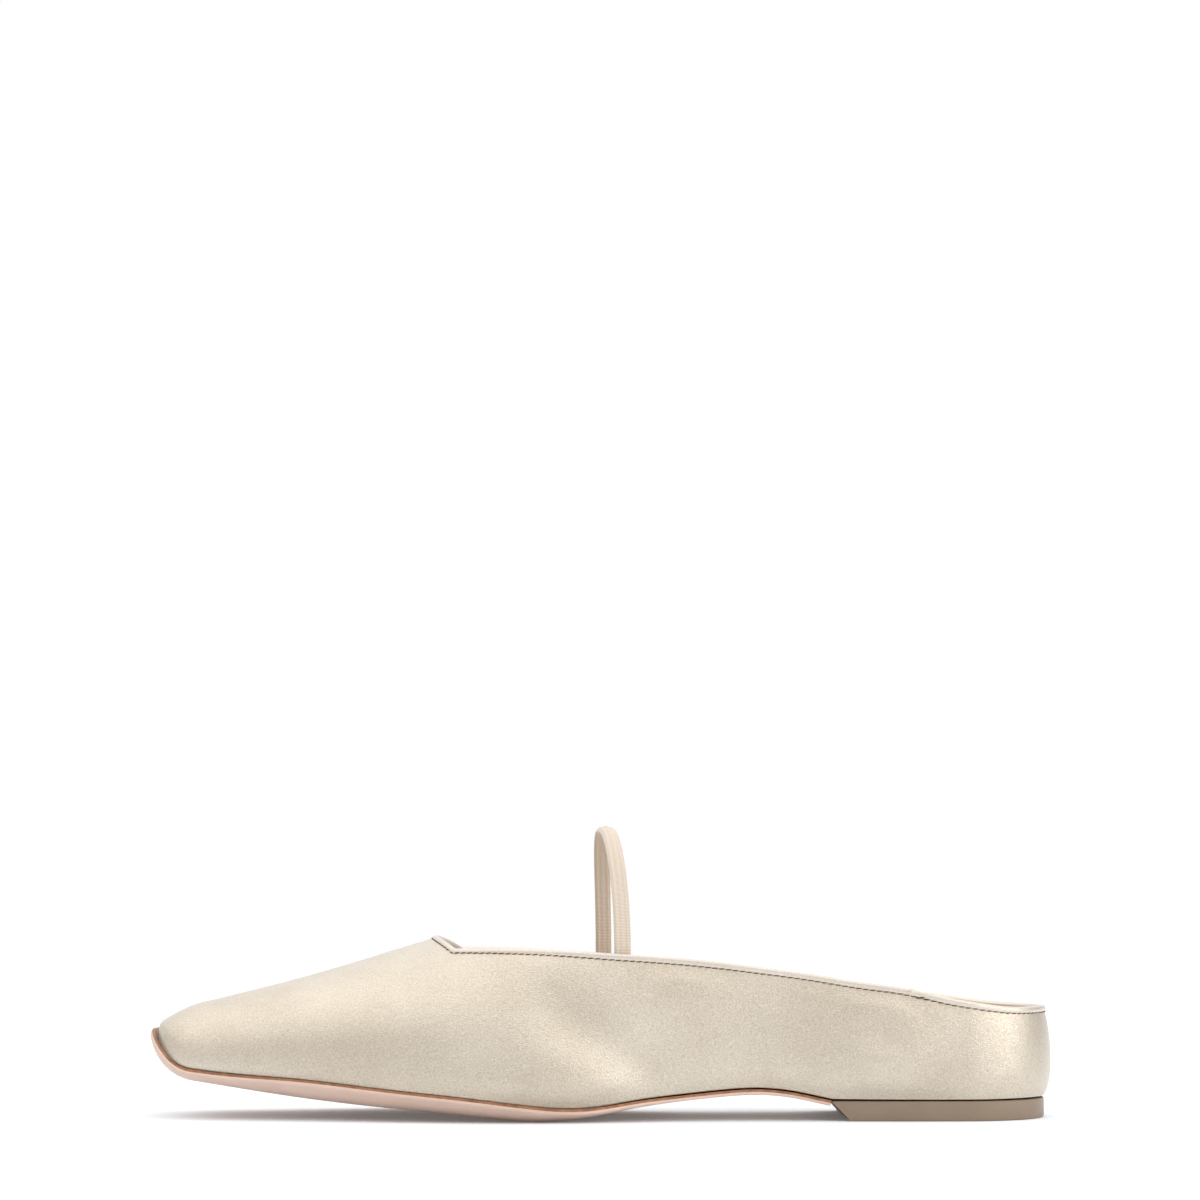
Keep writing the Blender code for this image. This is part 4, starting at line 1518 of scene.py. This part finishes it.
@dataclass
class Outsole:
    """Thin sole leather, nude below, with a brown stained edge that shows all along the feather line."""

    bed: Bed
    edge_height: float = 0.72 * MM
    edge_round: float = 0.55 * MM
    round_steps: int = 5

    def place(self, row: tuple[Zone, float], across: float, level: Level) -> Vector:
        """A point of the sole at a level of its rim.

        Args:
            row: the row along the piece.
            across: how far across, from -1 to 1.
            level: the rim's level at the place.

        Returns:
            The point in the shoe's frame.
        """
        last = self.bed.last
        toe_end = last.bed_toe_end - level.inset
        length, side = self.bed.plan(row, across, level.inset - last.sole_lip, 0.0, toe_end)
        point = last.position(length, side, last.bed_height(length, side))
        point -= last.bed_normal(length, side) * level.depth
        point.z = max(point.z, 0.0)
        return point

    def build(self, finishes: Wardrobe) -> None:
        """Models the sole and colours its cut edge.

        Args:
            finishes: the shoe's finishes.
        """
        last = self.bed.last
        turns = [math.pi / 2 * i / self.round_steps for i in range(self.round_steps + 1)]
        below = last.sole_thickness - self.edge_height
        rounded = tuple(
            Level(self.edge_round * (1 - math.cos(turn)), self.edge_height + below * math.sin(turn))
            for turn in turns
        )
        bands = (Band((Level(0.0, 0.0), rounded[0]), 2), Band(rounded, 1))
        sole = self.bed.slab("leather_outsole", False, self.place, bands)
        dressed(sole, [finishes.lining, finishes.sole, finishes.edge], "sole_leather", "outsole")
        smoothed(sole, 45)


@dataclass
class Footbed:
    """The sock lining on its board, inside the shoe."""

    bed: Bed
    thickness: float = 2.2 * MM
    gap: float = 0.5 * MM
    edge_gap: float = -0.7 * MM
    toe_gap: float = 0.5 * MM
    edge_round: float = 0.7 * MM
    round_steps: int = 4

    def place(self, row: tuple[Zone, float], across: float, level: Level) -> Vector:
        """A point of the footbed at a level of its rim.

        Args:
            row: the row along the piece.
            across: how far across, from -1 to 1.
            level: the rim's level at the place.

        Returns:
            The point in the shoe's frame.
        """
        last = self.bed.last
        inset = last.wall + self.edge_gap + level.inset
        heel_end = last.heel_tuck + inset
        toe_end = last.feather_toe_end - last.wall - self.toe_gap - level.inset
        length, side = self.bed.plan(row, across, inset, heel_end, toe_end)
        point = last.position(length, side, last.bed_height(length, side))
        lift = self.gap + self.thickness - level.depth
        return point + last.bed_normal(length, side) * lift

    def build(self, finishes: Wardrobe) -> None:
        """Models the footbed.

        Args:
            finishes: the shoe's finishes.
        """
        soft = self.edge_round
        turns = [math.pi / 2 * i / self.round_steps for i in range(self.round_steps + 1)]
        levels = [Level(soft * (1 - math.sin(turn)), soft * (1 - math.cos(turn))) for turn in turns]
        levels.append(Level(0.0, self.thickness))
        footbed = self.bed.slab("kid_footbed", True, self.place, (Band(tuple(levels), 0),))
        dressed(footbed, [finishes.lining] * 2, "insole_leather", "insole")
        smoothed(footbed)


@dataclass
class HeelBlock:
    """The low heel block, painted taupe, flat below, with a slanted breast."""

    last: Last
    breast_slant: float = 4.6 * MM
    inset: float = 0.1 * MM
    edge_round: float = 0.6 * MM
    seat_round: float = 0.25 * MM
    round_share: float = 0.3
    turn_points: int = 40

    def outline(self, breast: float, inset: float) -> list[tuple[float, float]]:
        """The block's outline in plan, from its lateral front corner round to its medial one.

        Args:
            breast: length from the heel of the block's front.
            inset: how far the outline is drawn in from the feather line.

        Returns:
            The length from the heel and the Y of each place.
        """
        last = self.last
        half_turn = []
        for i in range(self.turn_points + 1):
            turn = math.pi / 2 * i / self.turn_points
            back = math.sin(turn) ** (2 / last.heel_squareness)
            out = math.cos(turn) ** (2 / last.heel_squareness) if i < self.turn_points else 0.0
            half_turn.append((last.heel_rounding - back * (last.heel_rounding - last.heel_tuck - inset), out))
        sides = np.linspace(breast, last.heel_rounding, self.turn_points + 1)[:-1]
        places = [(float(length), -1.0) for length in sides]
        places += [(length, -out) for length, out in half_turn]
        places += [(length, out) for length, out in half_turn[-2::-1]]
        places += [(float(length), 1.0) for length in sides[::-1]]
        outline = []
        for length, spread in places:
            lateral, medial = last.feather_halves(length)
            half = (lateral + medial) / 2 - inset
            outline.append((length, (medial - lateral) / 2 + half * spread))
        return outline

    def build(self, finishes: Wardrobe) -> None:
        """Models the block.

        Args:
            finishes: the shoe's finishes.
        """
        last = self.last
        top, slant, soft = last.breast_top, self.breast_slant, self.edge_round
        part = self.round_share * soft
        rings = [
            (top - self.seat_round, self.inset + self.seat_round, last.heel_height),
            (top, self.inset, last.heel_height - self.seat_round),
            (top - slant, self.inset, soft),
            (top - slant - part, self.inset + part, part),
            (top - slant - soft, self.inset + soft, 0.0),
        ]
        outlines = [self.outline(breast, inset) for breast, inset, _ in rings]
        around = len(outlines[0])

        def place(i: int, j: int) -> Vector:
            length, across = outlines[j][i % around]
            return last.position(length, across, rings[j][2])

        heel = laid_grid("painted_heel", around, len(rings) - 1, place)
        welded(heel)
        capped(heel)
        dressed(heel, [finishes.heel], "heel_lacquer", "heel")
        smoothed(heel, 35)


@dataclass
class InstepStrap:
    """Ribbed elastic that stands as an arch over the instep, its ends sewn inside the quarters."""

    last: Last
    width: float = 4.7 * MM
    thickness: float = 1.3 * MM
    crown_height: float = 83.0 * MM
    tuck: float = 8.5 * MM
    lateral_from_heel: float = 123.6 * MM
    medial_from_heel: float = 128.9 * MM
    lean: float = 2.2 * MM
    roundness: float = 2.3
    gap: float = 0.7 * MM
    binding_height: float = 1.8 * MM
    binding_bulge: float = 0.5 * MM
    fit_gap: float = 0.3 * MM
    ribs: int = 3
    rib_depth: float = 0.20 * MM
    rib_span: float = 0.44
    squareness: float = 3.2
    sides: int = 64
    bow: float = 0.9 * MM
    bow_power: float = 10.0
    arch_segments: int = 150
    tuck_segments: int = 16
    smoothing: int = 60

    def anchor(self, side: Side, depth: float) -> Vector:
        """Where the middle of the strap runs inside the wall.

        Args:
            side: which quarter it is sewn to.
            depth: how far below the wall's edge, or above it where it is negative.

        Returns:
            The point in the shoe's frame.
        """
        last = self.last
        length = self.lateral_from_heel if side is Side.LATERAL else self.medial_from_heel
        column = Column(Zone.SIDE, length, side.value)
        top = last.column_lift(column)
        edge = last.wall_point(column, last.inward_at(top))
        below = last.wall_point(column, last.inward_at(top * 0.5))
        slope = (below.y - edge.y) / (edge.z - below.z)
        inset = last.wall + self.gap + self.binding_bulge * (1 - depth / self.tuck) + self.thickness / 2
        return Vector((edge.x, edge.y + slope * depth - side.value * inset, edge.z - depth))

    def path(self) -> list[Vector]:
        """Points along the middle of the strap, from the lateral end to the medial one.

        Returns:
            The points in order.
        """
        above = self.binding_height + 2 * self.fit_gap
        span = self.tuck + above
        depths = [self.tuck - span * i / self.tuck_segments for i in range(self.tuck_segments)]
        lateral, medial = self.anchor(Side.LATERAL, -above), self.anchor(Side.MEDIAL, -above)
        path = [self.anchor(Side.LATERAL, depth) for depth in depths]
        for i in range(self.arch_segments + 1):
            turn = math.pi * i / self.arch_segments
            spread = -filled_out(math.cos(turn), self.roundness)
            climb = filled_out(max(math.sin(turn), 0.0), self.roundness)
            foot = lateral.lerp(medial, (1 + spread) / 2)
            rise = (self.crown_height - foot.z) * climb
            path.append(foot + Vector((-self.lean * climb * climb, 0.0, rise)))
        path += [self.anchor(Side.MEDIAL, depth) for depth in depths[::-1]]
        for _ in range(self.smoothing):
            eased = [(path[i - 1] + path[i] * 2 + path[i + 1]) / 4 for i in range(1, len(path) - 1)]
            path = [path[0]] + eased + [path[-1]]
        return path

    def section(self, turn: float, share: float) -> tuple[float, float]:
        """The band's section, with its lengthwise ribs on both faces.

        Args:
            turn: how far round the section, from 0 to 1.
            share: how far along the path, from 0 to 1.

        Returns:
            How far along the shoe and how far through the band.
        """
        angle = 2 * math.pi * turn
        wide = self.width / 2 * filled_out(math.cos(angle), self.squareness)
        thick = self.thickness / 2 * filled_out(math.sin(angle), self.squareness)
        rib = 0.5 + 0.5 * math.cos(2 * math.pi * self.ribs * wide / self.width)
        groove = self.rib_depth * (1 - rib) if abs(wide) < self.rib_span * self.width else 0.0
        bow = self.bow * max(math.sin(math.pi * share), 0.0) ** self.bow_power
        return wide, thick - math.copysign(groove, thick) + bow * (2 * wide / self.width) ** 2

    def build(self, finishes: Wardrobe) -> None:
        """Models the band.

        Args:
            finishes: the shoe's finishes.
        """
        path = self.path()
        frames = []
        for i, point in enumerate(path):
            run = (path[min(i + 1, len(path) - 1)] - path[max(i - 1, 0)]).normalized()
            along_shoe = Vector((1.0, 0.0, 0.0))
            wide = (along_shoe - run * run.dot(along_shoe)).normalized()
            frames.append(Frame(point, wide, run.cross(wide)))
        strap = swept("elastic_strap", frames, False, self.sides, self.section)
        dressed(strap, [finishes.elastic], "strap_elastic", "instep_strap")
        smoothed(strap, 60)


@dataclass
class Studio:
    """White paper, soft light from above and around, and a camera close to the floor, tipped up a little."""

    camera_distance: float = 877.6 * MM
    camera_height: float = 56.3 * MM
    tip: float = 6.073
    lens: float = 90.04
    sensor: float = 36.0
    clip_start: float = 10.0 * MM
    front: float = 0.56
    left: float = 0.72
    right: float = 0.08
    behind: float = 1.0
    above: float = 1.75
    flank_turn: Span = (0.0, 0.5)
    front_turn: Span = (-0.80, -0.25)
    rear_turn: Span = (0.60, 0.92)
    top_turn: Span = (0.33, 0.80)
    floor_size: float = 8.0
    aim_height: float = 0.03
    # Each softbox's name, place, side and power
    softboxes: tuple[tuple[str, tuple[float, float, float], float, float], ...] = (
        ("overhead", (-0.25, 0.05, 1.3), 1.5, 0.5),
        ("right_strip", (1.24, -0.30, 0.36), 0.32, 3.4),
        ("right_front", (0.95, -0.88, 0.52), 0.55, 3.8),
    )

    def build(self, finishes: Wardrobe) -> None:
        """Sets up the paper, the lights, the world and the camera.

        Args:
            finishes: the shoe's finishes.
        """
        deselect_all()
        bpy.ops.mesh.primitive_plane_add(size=self.floor_size)
        floor = bpy.context.object
        floor.name = "studio_floor"
        floor.data.materials.append(finishes.paper)
        self.surround()
        for name, place, size, power in self.softboxes:
            self.softbox(name, place, size, power)
        self.place_camera()
        bpy.context.scene.view_settings.view_transform = "Standard"

    def surround(self) -> None:
        """A room that is white behind the shoe, brighter overhead, grey in front and dark on the right."""
        world = bpy.data.worlds.new("studio_world")
        bpy.context.scene.world = world
        world.use_nodes = True
        bench = NodeBench(world.node_tree)
        towards = bench.add("ShaderNodeTexCoord").outputs["Generated"]
        parts = bench.add("ShaderNodeSeparateXYZ", inputs={0: towards})
        flank = self.ramp(bench, parts.outputs["X"], self.flank_turn, (self.left, self.right))
        turned = self.ramp(bench, parts.outputs["Y"], self.front_turn, (0.0, 1.0))
        near = bench.blended(turned, self.front, flank)
        far = self.ramp(bench, parts.outputs["Y"], self.rear_turn, (0.0, 1.0))
        low = bench.blended(far, near, self.behind)
        high = self.ramp(bench, parts.outputs["Z"], self.top_turn, (0.0, 1.0))
        strength = bench.blended(high, low, self.above)
        background = world.node_tree.nodes["Background"]
        background.inputs["Color"].default_value = (1.0, 1.0, 1.0, 1.0)
        bench.tree.links.new(strength, background.inputs["Strength"])

    def ramp(
        self, bench: NodeBench, value: bpy.types.NodeSocket, start: Span, to: Span
    ) -> bpy.types.NodeSocket:
        """A soft step of a value.

        Args:
            bench: the world's nodes.
            value: the value that the step follows.
            start: where the step begins and ends.
            to: what it runs from and to.

        Returns:
            The step's value.
        """
        limits = {"From Min": start[0], "From Max": start[1], "To Min": to[0], "To Max": to[1]}
        settings = {"interpolation_type": "SMOOTHSTEP"}
        return bench.add("ShaderNodeMapRange", settings, {"Value": value, **limits}).outputs[0]

    def softbox(self, name: str, place: tuple[float, float, float], size: float, power: float) -> None:
        """Adds a square area light that looks at the shoe.

        Args:
            name: the light's name.
            place: where it stands, in metres.
            size: its side in metres.
            power: its power in watts.
        """
        deselect_all()
        bpy.ops.object.light_add(type="AREA", location=place)
        light = bpy.context.object
        light.name = name
        light.data.size = size
        light.data.energy = power
        aim = Vector((0.0, 0.0, self.aim_height)) - Vector(place)
        light.rotation_mode = "QUATERNION"
        light.rotation_quaternion = aim.to_track_quat("-Z", "Y")

    def place_camera(self) -> None:
        """Puts the camera level with the collar, tipped up so that the shoe sits low in the frame."""
        deselect_all()
        bpy.ops.object.camera_add()
        camera = bpy.context.object
        camera.name = "photo_camera"
        camera.data.sensor_width = self.sensor
        camera.data.lens = self.lens
        camera.location = (0.0, -self.camera_distance, self.camera_height)
        camera.rotation_euler = (math.radians(90 + self.tip), 0.0, 0.0)
        camera.data.clip_start = self.clip_start
        bpy.context.scene.camera = camera


def main() -> None:
    """Builds every piece in the order in which the shoe is made, then the studio."""
    logging.basicConfig(level=logging.INFO, format="%(message)s")
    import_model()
    finishes = Wardrobe()
    last = Last()
    upper = SatinUpper(last)
    bed = Bed(last)
    upper.build(finishes)
    CollarBinding(upper).build(finishes)
    Outsole(bed).build(finishes)
    Footbed(bed).build(finishes)
    HeelBlock(last).build(finishes)
    InstepStrap(last).build(finishes)
    Studio().build(finishes)


if __name__ == "__main__":
    main()
